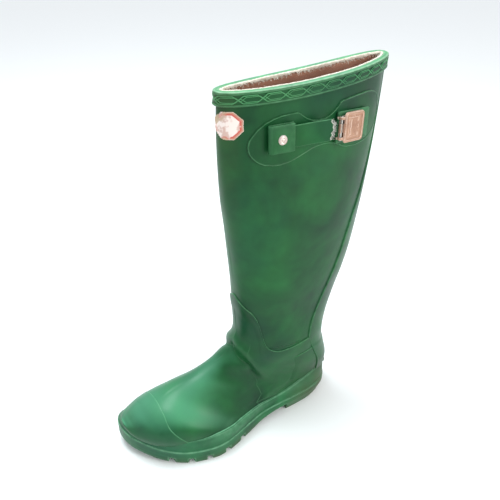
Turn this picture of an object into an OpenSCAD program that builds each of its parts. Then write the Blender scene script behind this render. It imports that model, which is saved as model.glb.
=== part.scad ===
// Left rubber rain boot: moulded rubber leg and foot over a fabric lining, a built-up sole,
// and a side strap with a hinged plate buckle. +X is toward the toe, +Y is the wearer's outer side.

/* [Boot] */
// Height of the top edge above the ground
boot_h = 400; // [390:1:410]
// Thickness of the rubber in the leg and foot
rubber_t = 2.6; // [2:0.1:3]
// Thickness of the fabric lining
lining_t = 1.5; // [1:0.1:2]
// Gap left between two layers
layer_gap = 0.3; // [0.2:0.05:0.4]

/* [Sole] */
// Height of the outsole's edge at the ball
sole_h = 18; // [17:0.5:19]
// Height of the outsole's edge at the heel
heel_seat_h = 22; // [21:0.5:23]
// Height of the heel block
heel_h = 13; // [11:0.5:15]
// Depth of the grooves between the cleats
cleat_h = 4; // [2:0.5:5]
// How far the toe is raised off the ground
toe_spring = 12; // [6:1:14]
// Height of the foxing strip's top edge
foxing_top = 38; // [35:1:40]

/* [Top band] */
// Height of the band round the top edge
band_h = 12; // [9:1:16]
// Thickness of the band
band_t = 2.4; // [1.8:0.1:3]

/* [Strap and buckle] */
// Width of the strap
strap_w = 19; // [16:1:20]
// Thickness of the strap
strap_t = 2; // [1.5:0.1:2.2]
// Length of the strap that is left outside its tab
strap_len = 37; // [20:1:40]
// Width of the square tab that holds the strap
tab_w = 24; // [22:1:26]
// Width of the buckle's plate
plate_w = 27; // [22:1:28]
// Height of the buckle's plate
plate_h = 27; // [24:1:28]
// Thickness of the steel in the buckle
steel_t = 1.2; // [0.8:0.1:1.4]
// Radius of the buckle's hinge pin
pin_r = 1.1; // [0.8:0.05:1.2]
// Clearance round the hinge pin
pin_gap = 0.08; // [0.05:0.01:0.1]
// Radius of the rivet's shank
rivet_r = 1.6; // [1.2:0.1:2]

/* [Hidden] */

rubber = [0.13, 0.38, 0.19];
rubber_dark = [0.10, 0.29, 0.16];
fabric = [0.66, 0.45, 0.37];
steel = [0.72, 0.55, 0.48];

around = 44;            // points round a full section
leg_rows = 16;          // sections down the leg
foot_rows = 26;         // sections along the foot
per_corner = 4;         // outline points from one of the sole's corners to the next
level_step = 35;        // height between two of the leg's level stations
ankle = 9;              // station where the leg sheet meets the foot sheet
top_lap = 1.2;          // height of the band's lip over the leg's top edge
skin_in = layer_gap;    // a patch's inner face, outside the rubber
skin_out = 1.9;         // a patch's outer face

// Stations down the leg and along the foot, each a closed section between a back and a front point:
// back x, y, z; front x, y, z; half width; back and front roundness; widest place; bow to the outside
stations = [
    [-98.5, -18, 400, 100, 0, 400, 17, 2.3, 2.3, 0.52, 10],
    [-95, -16, 365, 99.5, 0, 365, 22, 2.3, 2.3, 0.52, 8],
    [-89.5, -13, 330, 97.5, 0, 330, 26, 2.3, 2.3, 0.52, 6],
    [-83, -10, 295, 94, 0, 295, 30, 2.3, 2.3, 0.52, 4],
    [-76, -7, 260, 88.5, 0, 260, 33, 2.3, 2.3, 0.52, 3],
    [-68.5, -5, 225, 84, 0, 225, 34.5, 2.3, 2.3, 0.52, 2],
    [-59, -3, 192, 80, 0, 190, 35, 2.3, 2.3, 0.52, 1],
    [-48, -2, 160, 77.5, 0, 160, 34.5, 2.3, 2.2, 0.5, 0],
    [-38.5, -1, 132, 75.5, 0, 136, 34, 2.4, 2.2, 0.5, 0],
    [-35, 0, 108, 77, 0, 119, 34, 2.5, 2.2, 0.48, 0],
    [-38, 0, 84, 82.5, -1, 108, 34, 2.7, 2.2, 0.46, 0],
    [-44, 0, 60, 91, -2, 99, 32, 3, 2.2, 0.42, 0],
    [-44.5, 0, 38, 102, -4, 92, 29, 3.2, 2.2, 0.4, 0],
    [-38, 0.5, 24, 115, -5, 86.5, 28.5, 3.4, 2.2, 0.38, 0],
    [-5, 2, 22.5, 129, -6, 81.5, 28.8, 3.5, 2.2, 0.38, 0],
    [30, 3, 22, 143, -7, 76.5, 30.5, 3.6, 2.2, 0.38, 0],
    [65, 3.5, 19, 157, -8, 71.5, 34.5, 3.7, 2.2, 0.38, 0],
    [98, 5, 16, 171, -6, 65.5, 41, 3.7, 2.3, 0.38, 0],
    [128, 2, 15, 183, -7, 58.5, 40, 3.6, 2.4, 0.38, 0],
    [154, -4.5, 15, 192, -9, 50.5, 36.5, 3.4, 2.5, 0.38, 0],
    [177, -10.5, 15.5, 199.5, -12, 42, 28, 3.1, 2.5, 0.4, 0],
    [194, -17, 17, 205, -15.5, 34.5, 19, 2.7, 2.5, 0.45, 0],
    [203, -19.5, 20, 208, -18, 29, 12, 2.3, 2.3, 0.5, 0],
    [207.5, -21.5, 23.5, 209.5, -20.5, 27, 5, 2, 2, 0.5, 0]];
last = len(stations) - 1;

// Corners of the sole's outline, from the back of the heel round the outer side to the toe and back
sole_corners = [
    [-51, 0], [-47.5, 14.5], [-37.5, 26], [-18, 33], [5, 35], [30, 35], [58, 35], [83, 40], [105, 46],
    [125, 48], [146, 43.5], [167, 35], [186, 21.5], [201, 5], [210, -9], [213.5, -23],
    [211.5, -37], [202, -47.5], [183, -52.5], [157, -52], [130, -48], [105, -43], [78, -39], [50, -36.5],
    [22, -35.5], [-2, -35], [-20, -32.5], [-37.5, -25.5], [-47.5, -14]];
corners = len(sole_corners) - 1;
spring_from = 145;      // x where the sole starts to rise to the toe
toe_tip = 212;          // x where it has risen by toe_spring
breast_x = 24;          // front face of the heel
waist_end = 92;         // where the waist's arch comes down to the ground

// Smooth curve through four values
function smooth(a, b, c, d, u) =
    0.5 * (2 * b + (c - a) * u + (2 * a - 5 * b + 4 * c - d) * u * u + (3 * b - a - 3 * c + d) * u * u * u);
function row(i) =
    i < 0 ? 2 * stations[0] - stations[1]
    : i > last ? 2 * stations[last] - stations[last - 1]
    : stations[i];
function station(t) =
    let (i = min(max(floor(t), 0), last - 1))
    smooth(row(i - 1), row(i), row(i + 1), row(i + 2), t - i);
function spring(x) = x > spring_from ? toe_spring * pow((x - spring_from) / (toe_tip - spring_from), 2) : 0;
function bow(s, p) = s[10] * (1 - pow(2 * p - 1, 2));

// A point of the rubber's outer face: t counts stations, a is 0 at the front or top and 90 at the outer side
function surf(t, a) =
    let (
        s = station(t), c = cos(a), q = sin(a), n = c < 0 ? s[7] : s[8],
        r = pow(pow(abs(c), n) + pow(abs(q), n), -1 / n),
        p = s[9] + (c < 0 ? s[9] : 1 - s[9]) * r * c,
        x = s[0] + p * (s[3] - s[0]), y = s[1] + p * (s[4] - s[1]), z = s[2] + p * (s[5] - s[2]))
    [x, y + s[6] * r * q + bow(s, p), z + spring(x)];
function unit(v) = v / norm(v);
function out_dir(t, a) =
    let (
        t0 = max(t - 0.04, 0), t1 = min(t + 0.04, last),
        along = surf(t1, a) - surf(t0, a), across = surf(t, a + 1) - surf(t, a - 1))
    unit(cross(along, across));
function skin(t, a, d) = surf(t, a) + d * out_dir(t, a);

// The outer side of the level part of the leg, over a point x, z of the side view
function level_t(z) = (boot_h - z) / level_step;
function side_y(x, z) =
    let (
        s = station(level_t(z)), p = (x - s[0]) / (s[3] - s[0]), n = s[7],
        q = p > s[9] ? (p - s[9]) / (1 - s[9]) : (s[9] - p) / s[9])
    s[1] + p * (s[4] - s[1]) + s[6] * pow(1 - pow(min(q, 0.999), n), 1 / n) + bow(s, p);
function side_dir(x, z) =
    unit([side_y(x - 1, z) - side_y(x + 1, z), 2, side_y(x, z - 1) - side_y(x, z + 1)]);
function side_skin(x, z, d) = [x, side_y(x, z), z] + d * side_dir(x, z);

// The sole's outline, set in by a distance
function corner(i) = sole_corners[(i + corners + 1) % (corners + 1)];
outline_n = (corners + 1) * per_corner;
function edge(k) =
    let (i = floor(k / per_corner))
    smooth(corner(i - 1), corner(i), corner(i + 1), corner(i + 2), k / per_corner - i);
function outline(inset) = [for (k = [0 : outline_n - 1])
    let (v = edge((k + 1) % outline_n) - edge((k + outline_n - 1) % outline_n))
    edge(k) + inset * unit([v[1], -v[0]])];
function blend(x, x0, x1, v0, v1) =
    let (u = min(max((x - x0) / (x1 - x0), 0), 1)) v0 + (v1 - v0) * u * u * (3 - 2 * u);
function edge_z(x) = blend(x, breast_x, waist_end, heel_seat_h, sole_h) + spring(x);
function plate_z(x) = blend(x, breast_x, waist_end, heel_seat_h - 3, 10) + spring(x);
function bottom_z(x) = blend(x, breast_x + 4, waist_end, heel_h, 0) + spring(x);
function strip_z(x) = blend(x, 120, 190, foxing_top, 25) + spring(x);
function lift(loop, kind, add = 0) = [for (p = loop) [p[0], p[1], add + (
    kind == "edge" ? edge_z(p[0]) : kind == "plate" ? plate_z(p[0])
    : kind == "bottom" ? bottom_z(p[0]) : strip_z(p[0]))]];

// A solid skinned over a list of loops with the same number of points.
// With ring = true the last loop joins the first, otherwise strips close the two ends.
module skinned(loops, ring = false) {
    n = len(loops[0]);
    rows = len(loops);
    function id(k, i) = (k % rows) * n + (i % n);
    walls = [for (k = [0 : rows - (ring ? 1 : 2)], i = [0 : n - 1])
        each [[id(k, i), id(k, i + 1), id(k + 1, i + 1)], [id(k, i), id(k + 1, i + 1), id(k + 1, i)]]];
    ends = ring ? [] : [for (i = [0 : n / 2 - 2]) each [
        [id(0, i), id(0, n - 1 - i), id(0, n - 2 - i)], [id(0, i), id(0, n - 2 - i), id(0, i + 1)],
        [id(rows - 1, i), id(rows - 1, i + 1), id(rows - 1, n - 2 - i)],
        [id(rows - 1, i), id(rows - 1, n - 2 - i), id(rows - 1, n - 1 - i)]]];
    polyhedron(points = [for (l = loops) each l], faces = concat(walls, ends), convexity = 6);
}
function ring_at(t, d) = [for (i = [0 : around - 1]) skin(t, 360 * i / around, d)];
function level_ring(z, d) = [for (i = [0 : around - 1])
    let (p = skin(max(level_t(z), 0), 360 * i / around, d)) [p[0], p[1], z]];

// A sheet on the rubber's surface through the stations given. The tables give its two side angles at each.
module sheet(rows, from, to, cols, inner = skin_in, outer = skin_out) {
    skinned([for (t = rows)
        let (a0 = lookup(t, from), a1 = lookup(t, to))
        concat(
            [for (i = [0 : cols]) skin(t, a0 + (a1 - a0) * i / cols, outer)],
            [for (i = [cols : -1 : 0]) skin(t, a0 + (a1 - a0) * i / cols, inner)])]);
}
function steps(from, to, n) = [for (k = [0 : n]) from + (to - from) * k / n];
// A sheet across the front, out to an angle on each side. The tables give its top and bottom station there.
module collar(side, top, low, rows, cols) {
    skinned([for (a = steps(-side, side, cols))
        let (t0 = lookup(abs(a), top), t1 = lookup(abs(a), low))
        concat(
            [for (i = [0 : rows]) skin(t0 + (t1 - t0) * i / rows, a, skin_in)],
            [for (i = [rows : -1 : 0]) skin(t0 + (t1 - t0) * i / rows, a, skin_out)])]);
}

// The leg's and the foot's sections
leg_t = steps(level_t(boot_h - top_lap), ankle, leg_rows);
foot_t = steps(ankle, last, foot_rows);
module leg_shell() {
    color(rubber) skinned(ring = true, concat(
        [for (t = leg_t) ring_at(t, 0)],
        [for (k = [leg_rows : -1 : 0]) ring_at(leg_t[k], -rubber_t)]));
}

module foot_shell() {
    color(rubber) skinned(concat(
        [for (k = [foot_rows - 2 : -1 : 0]) ring_at(foot_t[k], -rubber_t)],
        [for (t = foot_t) ring_at(t, 0)]));
}

module lining() {
    outer = -rubber_t - layer_gap;
    rows = concat(leg_t, [for (k = [1 : foot_rows - 3]) foot_t[k]]);
    color(fabric) skinned(concat(
        [for (k = [len(rows) - 2 : -1 : 0]) ring_at(rows[k], outer - lining_t)],
        [for (t = rows) ring_at(t, outer)]));
}

module top_band() {
    low = boot_h - band_h;
    profile = [
        [layer_gap, low], [band_t, low], [band_t + 0.7, low + 1], [band_t, low + 2.2],
        [band_t, boot_h - 2.6], [band_t + 0.6, boot_h - 1.4], [band_t - 0.2, boot_h],
        [-rubber_t, boot_h], [-rubber_t, boot_h - 0.9], [layer_gap, boot_h - 0.9]];
    color(rubber) skinned(ring = true, [for (k = [len(profile) - 1 : -1 : 0])
        level_ring(profile[k][1], profile[k][0])]);
}

// Angle of the back stay's outer edge at each station
stay_edge = [[2, 160], [3, 147], [4.2, 131], [5.2, 125], [6.4, 117], [7.3, 112], [8.6, 110], [9.8, 116],
    [11.7, 124]];
function mirrored(table) = [for (p = table) [p[0], 360 - p[1]]];
module back_stay() {
    rows = concat([for (t = leg_t) if (t > 2) t], [for (t = foot_t) if (t > ankle && t < 11.9) t]);
    color(rubber) sheet(rows, stay_edge, mirrored(stay_edge), 18);
}

// Top edge of the lap over the ankle, from the shin round to the back stay, and its lower edge
lap_top = [[0, 6.2], [20, 6.5], [34, 6.7], [41, 7.1], [47, 8.2], [58, 9.1], [70, 9.4], [85, 9.25], [105, 9]];
lap_low = [[0, 12.6], [68, 12.6], [80, 10.1], [105, 9.7]];
module instep_patch() {
    color(rubber) collar(105, lap_top, lap_low, 10, 34);
}

// The heel counter shows on each side between the lap over the ankle and the back stay
counter_front = [[10.3, 86], [12.1, 86]];
counter_back = [[10.3, 112], [12.1, 119]];
module heel_counter() {
    rows = steps(10.3, 12.1, 6);
    color(rubber) sheet(rows, counter_front, counter_back, 5);
    color(rubber) sheet(rows, mirrored(counter_back), mirrored(counter_front), 5);
}

// A ledge at the back of the heel, to hold the boot down by when it is pulled off
spur_z = 35;
spur_side = 15;
module kick_spur() {
    color(rubber_dark) skinned([for (y = steps(-spur_side, spur_side, 8))
        let (x = -51.6 + 7 * pow(y / 24, 2), h = 2.4 * sqrt(1 - pow(y / (spur_side + 0.5), 2)),
            tip = x - 3 - 0.7 * h)
        [[x, y, spur_z + 1 + h], [tip, y, spur_z + 1], [tip, y, spur_z - 1], [x, y, spur_z - 1 - h]]]);
}

module toe_cap() {
    rear = 17.6;
    front = 22.4;
    color(rubber) sheet(steps(rear, front, 12), [[rear, -56], [front, -70]], [[rear, 56], [front, 70]], 14);
}

// Strip round the foot over the outsole's edge: it leaves the outline at the bottom and thins toward its top
module foxing() {
    strip_in = 3;
    color(rubber_dark) skinned(ring = true, [
        lift(outline(strip_in), "edge", layer_gap), lift(outline(0.6), "edge", layer_gap),
        lift(outline(0.3), "edge", 2), lift(outline(0.6), "strip", -1),
        lift(outline(1.2), "strip"), lift(outline(strip_in), "strip")]);
}

// Grooves cut up into the sole: across it between the cleats, and one along the ball
module cleats() {
    gap = 6;
    wide = 140;
    for (x = [88 : 21 : 194])
        translate([x, 0, spring(x)]) rotate([0, atan(-2 * spring(x) / max(x - spring_from, 1)), 0])
            translate([-gap / 2, -wide / 2, -11]) cube([gap, wide, cleat_h + 11]);
    translate([100, -8, -1]) cube([46, gap, cleat_h + 1]);
}

module outsole() {
    lip = 3.4;
    color(rubber_dark) difference() {
        skinned([
            lift(outline(0.6), "bottom"), lift(outline(0), "bottom", 1), lift(outline(0), "edge", -1),
            lift(outline(0.5), "edge"), lift(outline(lip), "edge", -4), lift(outline(lip), "plate")]);
        cleats();
    }
}

module heel_block() {
    inset = 1.5;
    hollow_r = 38;      // of the heel's front face
    color(rubber_dark) difference() {
        linear_extrude(heel_h - 0.01) intersection() {
            polygon(outline(inset));
            translate([-60, -50]) square([60 + breast_x, 100]);
        }
        for (x = [-30, -14, 2])
            translate([x, -50, -1]) cube([4, 100, 1 + cleat_h / 2]);
        translate([breast_x + hollow_r - 4, 0, -1]) cylinder(r = hollow_r, h = heel_h + 2, $fn = 96);
    }
}

shank_from = -10;
shank_to = 94;
shank_side = 6.5;
module midsole() {
    inset = 9.5;
    room = 1.5;         // between the filler and the shank that lies in its slot
    color("tan") difference() {
        skinned([lift(outline(inset), "plate", layer_gap), lift(outline(inset), "plate", 1.8)]);
        translate([shank_from - room, -shank_side - room, 0])
            cube([shank_to - shank_from + 2 * room, 2 * (shank_side + room), boot_h]);
    }
}

module shank() {
    color("silver") skinned([for (x = steps(shank_from, shank_to, 10))
        let (z = plate_z(x) + 0.2)
        [[x, -shank_side, z], [x, -shank_side, z + 1.2], [x, shank_side, z + 1.2], [x, shank_side, z]]]);
}

// A flat layer inside the foot, over the lining's floor, rounded in at its two ends
floor_gap = rubber_t + lining_t + 2 * layer_gap;
module inner_layer(low, high, inset) {
    rows = 20;
    skinned([for (k = [0 : rows])
        let (t = 13.2 + 7.6 * k / rows, b = skin(t, 180, -floor_gap), e = min(k, rows - k, 4) / 4,
            w = (station(t)[6] - inset) * (0.75 + 0.25 * sqrt(1 - pow(1 - e, 2))))
        [[b[0], b[1] - w, b[2] + low], [b[0], b[1] - w, b[2] + high],
            [b[0], b[1] + w, b[2] + high], [b[0], b[1] + w, b[2] + low]]]);
}
module insole_board() {
    color("burlywood") inner_layer(1.2, 2.6, 16);
}
module footbed() {
    color(fabric) inner_layer(2.8, 5.6, 13.5);
}

module front_label() {
    rows = steps(level_t(boot_h - 16.5), level_t(boot_h - 39.5), 6);
    color("mistyrose") sheet(rows, [[0, -10], [2, -6]], [[0, 38], [2, 38]], 6, outer = 0.8);
}

// Side patch: its top and bottom edges over x, a rounded lobe at each end and a waist under the strap
patch_x = [80, 76, 66, 52, 36, 25, 15, 5, -5, -14, -24, -40, -60, -72, -78];
patch_top = [356, 364, 372, 376.5, 376, 371, 367, 367, 370, 376, 378, 378, 376, 370, 362];
patch_low = [352, 343, 335, 333, 336, 340, 342, 342, 341, 337, 332, 329, 331, 337, 346];
module side_patch() {
    rows = 6;
    patch_out = 1.4;    // its outer face, clear of the washer under the tab
    color(rubber) skinned([for (k = [0 : len(patch_x) - 1])
        let (top = patch_top[k] + boot_h - 400, low = patch_low[k] + boot_h - 400)
        concat(
            [for (i = [0 : rows]) side_skin(patch_x[k], low + (top - low) * i / rows, patch_out)],
            [for (i = [rows : -1 : 0]) side_skin(patch_x[k], low + (top - low) * i / rows, skin_in)])]);
}

// Places children on the outer side: local X forward, Z up, Y out of the surface
strap_z = boot_h - 41.5;
tab_x = 53;
tab_turn = -7;
buckle_x = -21;
buckle_turn = 11;
buckle_tilt = -7;       // the buckle's rear end hangs lower than its hinge
lean = 7;               // how far the leg's side leans out under the hardware, in degrees
tab_face = 2.2;         // local Y where the tab starts, clear of the patch
module on_side(x, z, turn) {
    translate([x, side_y(x, z), z]) rotate([lean, 0, turn]) children();
}
module across(y0, y1, r) {
    translate([0, y0, 0]) rotate([-90, 0, 0]) cylinder(r = r, h = y1 - y0, $fn = 48);
}

fold_t = 1.7;            // thickness of the rubber folded round the strap
mid_gap = strap_t + 0.4;
tab_out = tab_face + 2 * fold_t + mid_gap;
module strap_tab() {
    color(rubber_dark) on_side(tab_x, strap_z, tab_turn) difference() {
        union() {
            translate([-tab_w / 2, tab_face, -tab_w / 2]) cube([tab_w, fold_t, tab_w]);
            translate([-tab_w / 2, tab_out - fold_t, -tab_w / 2]) cube([tab_w, fold_t, tab_w]);
            translate([tab_w / 2 - fold_t, tab_face, -tab_w / 2]) cube([fold_t, tab_out - tab_face, tab_w]);
        }
        across(tab_face - 1, tab_out + 1, rivet_r + 0.05);
    }
}

root_y = tab_face + fold_t + 0.2;
module strap_root() {
    color(rubber) on_side(tab_x, strap_z, tab_turn) difference() {
        translate([-tab_w / 2 + 0.2, root_y, -strap_w / 2]) cube([tab_w - fold_t - 0.6, strap_t, strap_w]);
        across(root_y - 1, root_y + strap_t + 1, rivet_r + 0.05);
    }
}

// The torn end of the strap, seen from outside: points up its ragged edge
torn_edge = [[0, -9.5], [0.8, -7], [-1, -5], [-0.2, -2.5], [-2.6, -0.5], [-1.4, 2], [-2, 4.5], [0.4, 7],
    [-0.6, 9.5]];
module strap() {
    end = -tab_w / 2 - strap_len;
    color(rubber) on_side(tab_x, strap_z, tab_turn)
        translate([0, root_y + strap_t, 0]) rotate([90, 0, 0]) linear_extrude(strap_t)
            polygon(concat(
                [[-tab_w / 2 - 0.3, strap_w / 2], [-tab_w / 2 - 0.3, -strap_w / 2]],
                [for (p = torn_edge) [end + p[0], p[1] * strap_w / 19]]));
}

module strap_rivet() {
    color(steel) on_side(tab_x, strap_z, tab_turn) {
        across(tab_face - 0.2, tab_out + 0.2, rivet_r);
        translate([0, tab_out + 0.15, 0]) rotate([-90, 0, 0]) intersection() {
            cylinder(r = 4.2, h = 1.5, $fn = 48);
            translate([0, 0, -5.6]) sphere(r = 7, $fn = 64);
        }
    }
}

module rivet_washer() {
    color("silver") on_side(tab_x, strap_z, tab_turn) difference() {
        across(tab_face - 0.55, tab_face - 0.05, 4);
        across(tab_face - 1, tab_face + 1, rivet_r + 0.05);
    }
}

// Buckle, in its own local frame on the side
base_t = 2;
base_y = 2.1;
frame_y = base_y + base_t + 0.1;
pin_x = plate_w / 2 - 1;
pin_y = frame_y + steel_t + 2.2;
plate_y = pin_y + 0.4;
barrel_r = pin_r + pin_gap + 1;
barrel_len = 8;
plate_drop = -5.2;
module on_buckle() {
    on_side(buckle_x, strap_z + plate_drop, buckle_turn) rotate([0, buckle_tilt, 0]) children();
}
module upright(z0, z1, r) {
    translate([0, 0, z0]) cylinder(r = r, h = z1 - z0, $fn = 48);
}
module buckle_tab() {
    color(rubber_dark) on_buckle() difference() {
        translate([-33, base_y, -14]) cube([46, base_t, 28]);
        for (z = [-6, 6]) translate([-3, 0, z]) across(base_y - 1, base_y + base_t + 1, 1.3);
    }
}

module buckle_frame() {
    ear = 2;
    color(steel) on_buckle() difference() {
        union() {
            translate([-9, frame_y, -10]) cube([pin_x + 8, steel_t, 20]);
            for (z = [-10, 10 - ear]) {
                translate([pin_x - 3, frame_y, z]) cube([6, pin_y - frame_y, ear]);
                translate([pin_x, pin_y, 0]) upright(z, z + ear, 3);
            }
        }
        translate([pin_x, pin_y, 0]) upright(-11, 11, pin_r + 0.02);
        for (z = [-6, 6]) translate([-3, 0, z]) across(frame_y - 1, frame_y + steel_t + 1, 1.3);
    }
}

module buckle_rivets() {
    color(steel) on_buckle() for (z = [-6, 6]) translate([-3, 0, z]) {
        across(base_y - 0.1, frame_y + steel_t + 0.05, 1.2);
        across(frame_y + steel_t + 0.02, frame_y + steel_t + 0.8, 2.2);
    }
}

module buckle_pin() {
    color("silver") on_buckle() translate([pin_x, pin_y, 0]) upright(-10.8, 10.8, pin_r);
}

module buckle_lever() {
    rim = 2.6;
    ear_gap = 3.3;      // from the pin's axis to the plate, clear of the frame's ears
    left = pin_x - ear_gap - plate_w;
    color(steel) on_buckle() difference() {
        union() {
            translate([left, plate_y, -plate_h / 2]) cube([plate_w, steel_t, plate_h]);
            for (z = [-plate_h / 2, plate_h / 2 - rim])
                translate([left, plate_y + steel_t - 0.2, z]) cube([plate_w, 0.9, rim]);
            for (x = [left, left + plate_w - rim])
                translate([x, plate_y + steel_t - 0.2, -plate_h / 2]) cube([rim, 0.9, plate_h]);
            translate([pin_x - ear_gap - 1, pin_y + barrel_r - steel_t, -barrel_len / 2])
                cube([ear_gap + 1, steel_t, barrel_len]);
            translate([pin_x, pin_y, 0]) upright(-barrel_len / 2, barrel_len / 2, barrel_r);
        }
        translate([pin_x, pin_y, 0]) upright(-barrel_len, barrel_len, pin_r + pin_gap);
    }
}

leg_shell();
foot_shell();
lining();
top_band();
back_stay();
instep_patch();
heel_counter();
kick_spur();
toe_cap();
foxing();
outsole();
heel_block();
midsole();
shank();
insole_board();
footbed();
front_label();
side_patch();
strap_tab();
strap_root();
strap();
strap_rivet();
rivet_washer();
buckle_tab();
buckle_frame();
buckle_rivets();
buckle_pin();
buckle_lever();
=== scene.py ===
import bpy
import bmesh
import math
import numpy as np
from mathutils import Matrix, Vector
from mathutils.bvhtree import BVHTree


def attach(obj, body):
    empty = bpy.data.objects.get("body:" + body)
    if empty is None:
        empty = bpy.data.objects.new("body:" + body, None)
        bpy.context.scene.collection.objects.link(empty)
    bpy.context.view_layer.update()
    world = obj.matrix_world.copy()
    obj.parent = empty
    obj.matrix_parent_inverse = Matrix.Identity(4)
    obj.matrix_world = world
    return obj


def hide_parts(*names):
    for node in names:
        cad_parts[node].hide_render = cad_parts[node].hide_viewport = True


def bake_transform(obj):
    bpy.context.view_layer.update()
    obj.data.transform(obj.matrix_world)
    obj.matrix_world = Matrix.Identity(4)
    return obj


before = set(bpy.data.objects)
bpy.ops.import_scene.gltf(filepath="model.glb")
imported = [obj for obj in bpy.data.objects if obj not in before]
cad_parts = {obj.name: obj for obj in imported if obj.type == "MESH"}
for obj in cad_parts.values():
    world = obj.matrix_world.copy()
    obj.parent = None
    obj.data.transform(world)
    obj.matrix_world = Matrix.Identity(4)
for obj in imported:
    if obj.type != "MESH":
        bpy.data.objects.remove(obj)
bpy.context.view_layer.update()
print("frame loaded")

# The boot's form, in millimetres: stations down the leg and along the foot, each a closed section
# between a back and a front point: back xyz, front xyz, half width, back and front roundness,
# widest place, bow to the outer side
form = {
    "stations": [
        [-98.5, -18, 400, 100, 0, 400, 17, 2.3, 2.3, 0.52, 10],
        [-95, -16, 365, 99.5, 0, 365, 22, 2.3, 2.3, 0.52, 8],
        [-89.5, -13, 330, 97.5, 0, 330, 26, 2.3, 2.3, 0.52, 6],
        [-83, -10, 295, 94, 0, 295, 30, 2.3, 2.3, 0.52, 4],
        [-76, -7, 260, 88.5, 0, 260, 33, 2.3, 2.3, 0.52, 3],
        [-68.5, -5, 225, 84, 0, 225, 34.5, 2.3, 2.3, 0.52, 2],
        [-59, -3, 192, 80, 0, 190, 35, 2.3, 2.3, 0.52, 1],
        [-48, -2, 160, 77.5, 0, 160, 34.5, 2.3, 2.2, 0.5, 0],
        [-38.5, -1, 132, 75.5, 0, 136, 34, 2.4, 2.2, 0.5, 0],
        [-35, 0, 108, 77, 0, 119, 34, 2.5, 2.2, 0.48, 0],
        [-38, 0, 84, 82.5, -1, 108, 34, 2.7, 2.2, 0.46, 0],
        [-44, 0, 60, 91, -2, 99, 32, 3, 2.2, 0.42, 0],
        [-44.5, 0, 38, 102, -4, 92, 29, 3.2, 2.2, 0.4, 0],
        [-38, 0.5, 24, 115, -5, 86.5, 28.5, 3.4, 2.2, 0.38, 0],
        [-5, 2, 22.5, 129, -6, 81.5, 28.8, 3.5, 2.2, 0.38, 0],
        [30, 3, 22, 143, -7, 76.5, 30.5, 3.6, 2.2, 0.38, 0],
        [65, 3.5, 19, 157, -8, 71.5, 34.5, 3.7, 2.2, 0.38, 0],
        [98, 5, 16, 171, -6, 65.5, 41, 3.7, 2.3, 0.38, 0],
        [128, 2, 15, 183, -7, 58.5, 40, 3.6, 2.4, 0.38, 0],
        [154, -4.5, 15, 192, -9, 50.5, 36.5, 3.4, 2.5, 0.38, 0],
        [177, -10.5, 15.5, 199.5, -12, 42, 28, 3.1, 2.5, 0.4, 0],
        [194, -17, 17, 205, -15.5, 34.5, 19, 2.7, 2.5, 0.45, 0],
        [203, -19.5, 20, 208, -18, 29, 12, 2.3, 2.3, 0.5, 0],
        [207.5, -21.5, 23.5, 209.5, -20.5, 27, 5, 2, 2, 0.5, 0]],
    "soleCorners": [
        [-51, 0], [-47.5, 14.5], [-37.5, 26], [-18, 33], [5, 35], [30, 35], [58, 35], [83, 40],
        [105, 46], [125, 48], [146, 43.5], [167, 35], [186, 21.5], [201, 5], [210, -9],
        [213.5, -23], [211.5, -37], [202, -47.5], [183, -52.5], [157, -52], [130, -48],
        [105, -43], [78, -39], [50, -36.5], [22, -35.5], [-2, -35], [-20, -32.5],
        [-37.5, -25.5], [-47.5, -14]],
    "toeSpring": 12, "springFrom": 145, "toeTip": 212}
# Folds over the instep: station of each line at an angle from the front, height and width
folds = {
    "ridge": ([0, 32, 65, 104], [8.85, 9.7, 11.9, 14.5]), "ridgeHigh": 2.6, "ridgeWide": 0.55,
    "valley": ([0, 43, 71, 104], [9.7, 11.0, 13.5, 15.1]), "valleyDeep": 2.2, "valleyWide": 0.34,
    "secondRidge": ([0, 43, 71, 104], [10.6, 12.0, 14.5, 16.1]), "secondHigh": 0.9,
    "slack": 0.45}
layers = {"rubber": 2.6, "gap": 0.3, "lining": 1.5}

rows = np.array(form["stations"], float)
lastT = len(rows) - 1
rows = np.vstack([2 * rows[0] - rows[1], rows, 2 * rows[-1] - rows[-2]])


def smoothCurve(a, b, c, d, u):
    return 0.5 * (2 * b + (c - a) * u + (2 * a - 5 * b + 4 * c - d) * u * u
                  + (3 * b - a - 3 * c + d) * u ** 3)


def smoothStep(low, high, x):
    u = np.clip((x - low) / (high - low), 0, 1)
    return u * u * (3 - 2 * u)


def spring(x):
    rise = (np.maximum(x, form["springFrom"]) - form["springFrom"]) / (form["toeTip"] - form["springFrom"])
    return form["toeSpring"] * rise ** 2


def surface(t, a):
    t, a = np.broadcast_arrays(np.asarray(t, float), np.asarray(a, float))
    i = np.clip(np.floor(t).astype(int), 0, lastT - 1)
    s = smoothCurve(rows[i], rows[i + 1], rows[i + 2], rows[i + 3], (t - i)[..., None])
    c, q = np.cos(np.radians(a)), np.sin(np.radians(a))
    n = np.where(c < 0, s[..., 7], s[..., 8])
    r = (np.abs(c) ** n + np.abs(q) ** n) ** (-1 / n)
    p = s[..., 9] + np.where(c < 0, s[..., 9], 1 - s[..., 9]) * r * c
    out = s[..., 0:3] + p[..., None] * (s[..., 3:6] - s[..., 0:3])
    out[..., 1] += s[..., 6] * r * q + s[..., 10] * (1 - (2 * p - 1) ** 2)
    out[..., 2] += spring(out[..., 0])
    return out


def unit(v):
    return v / np.maximum(np.linalg.norm(v, axis=-1, keepdims=True), 1e-9)


def outward(t, a):
    t = np.asarray(t, float)
    along = surface(np.minimum(t + 0.04, lastT), a) - surface(np.maximum(t - 0.04, 0), a)
    across = surface(t, np.asarray(a, float) + 1) - surface(t, np.asarray(a, float) - 1)
    return unit(np.cross(along, across))


def bump(t, line, a, wide):
    return np.exp(-((t - np.interp(a, *line)) / wide) ** 2)


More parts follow.
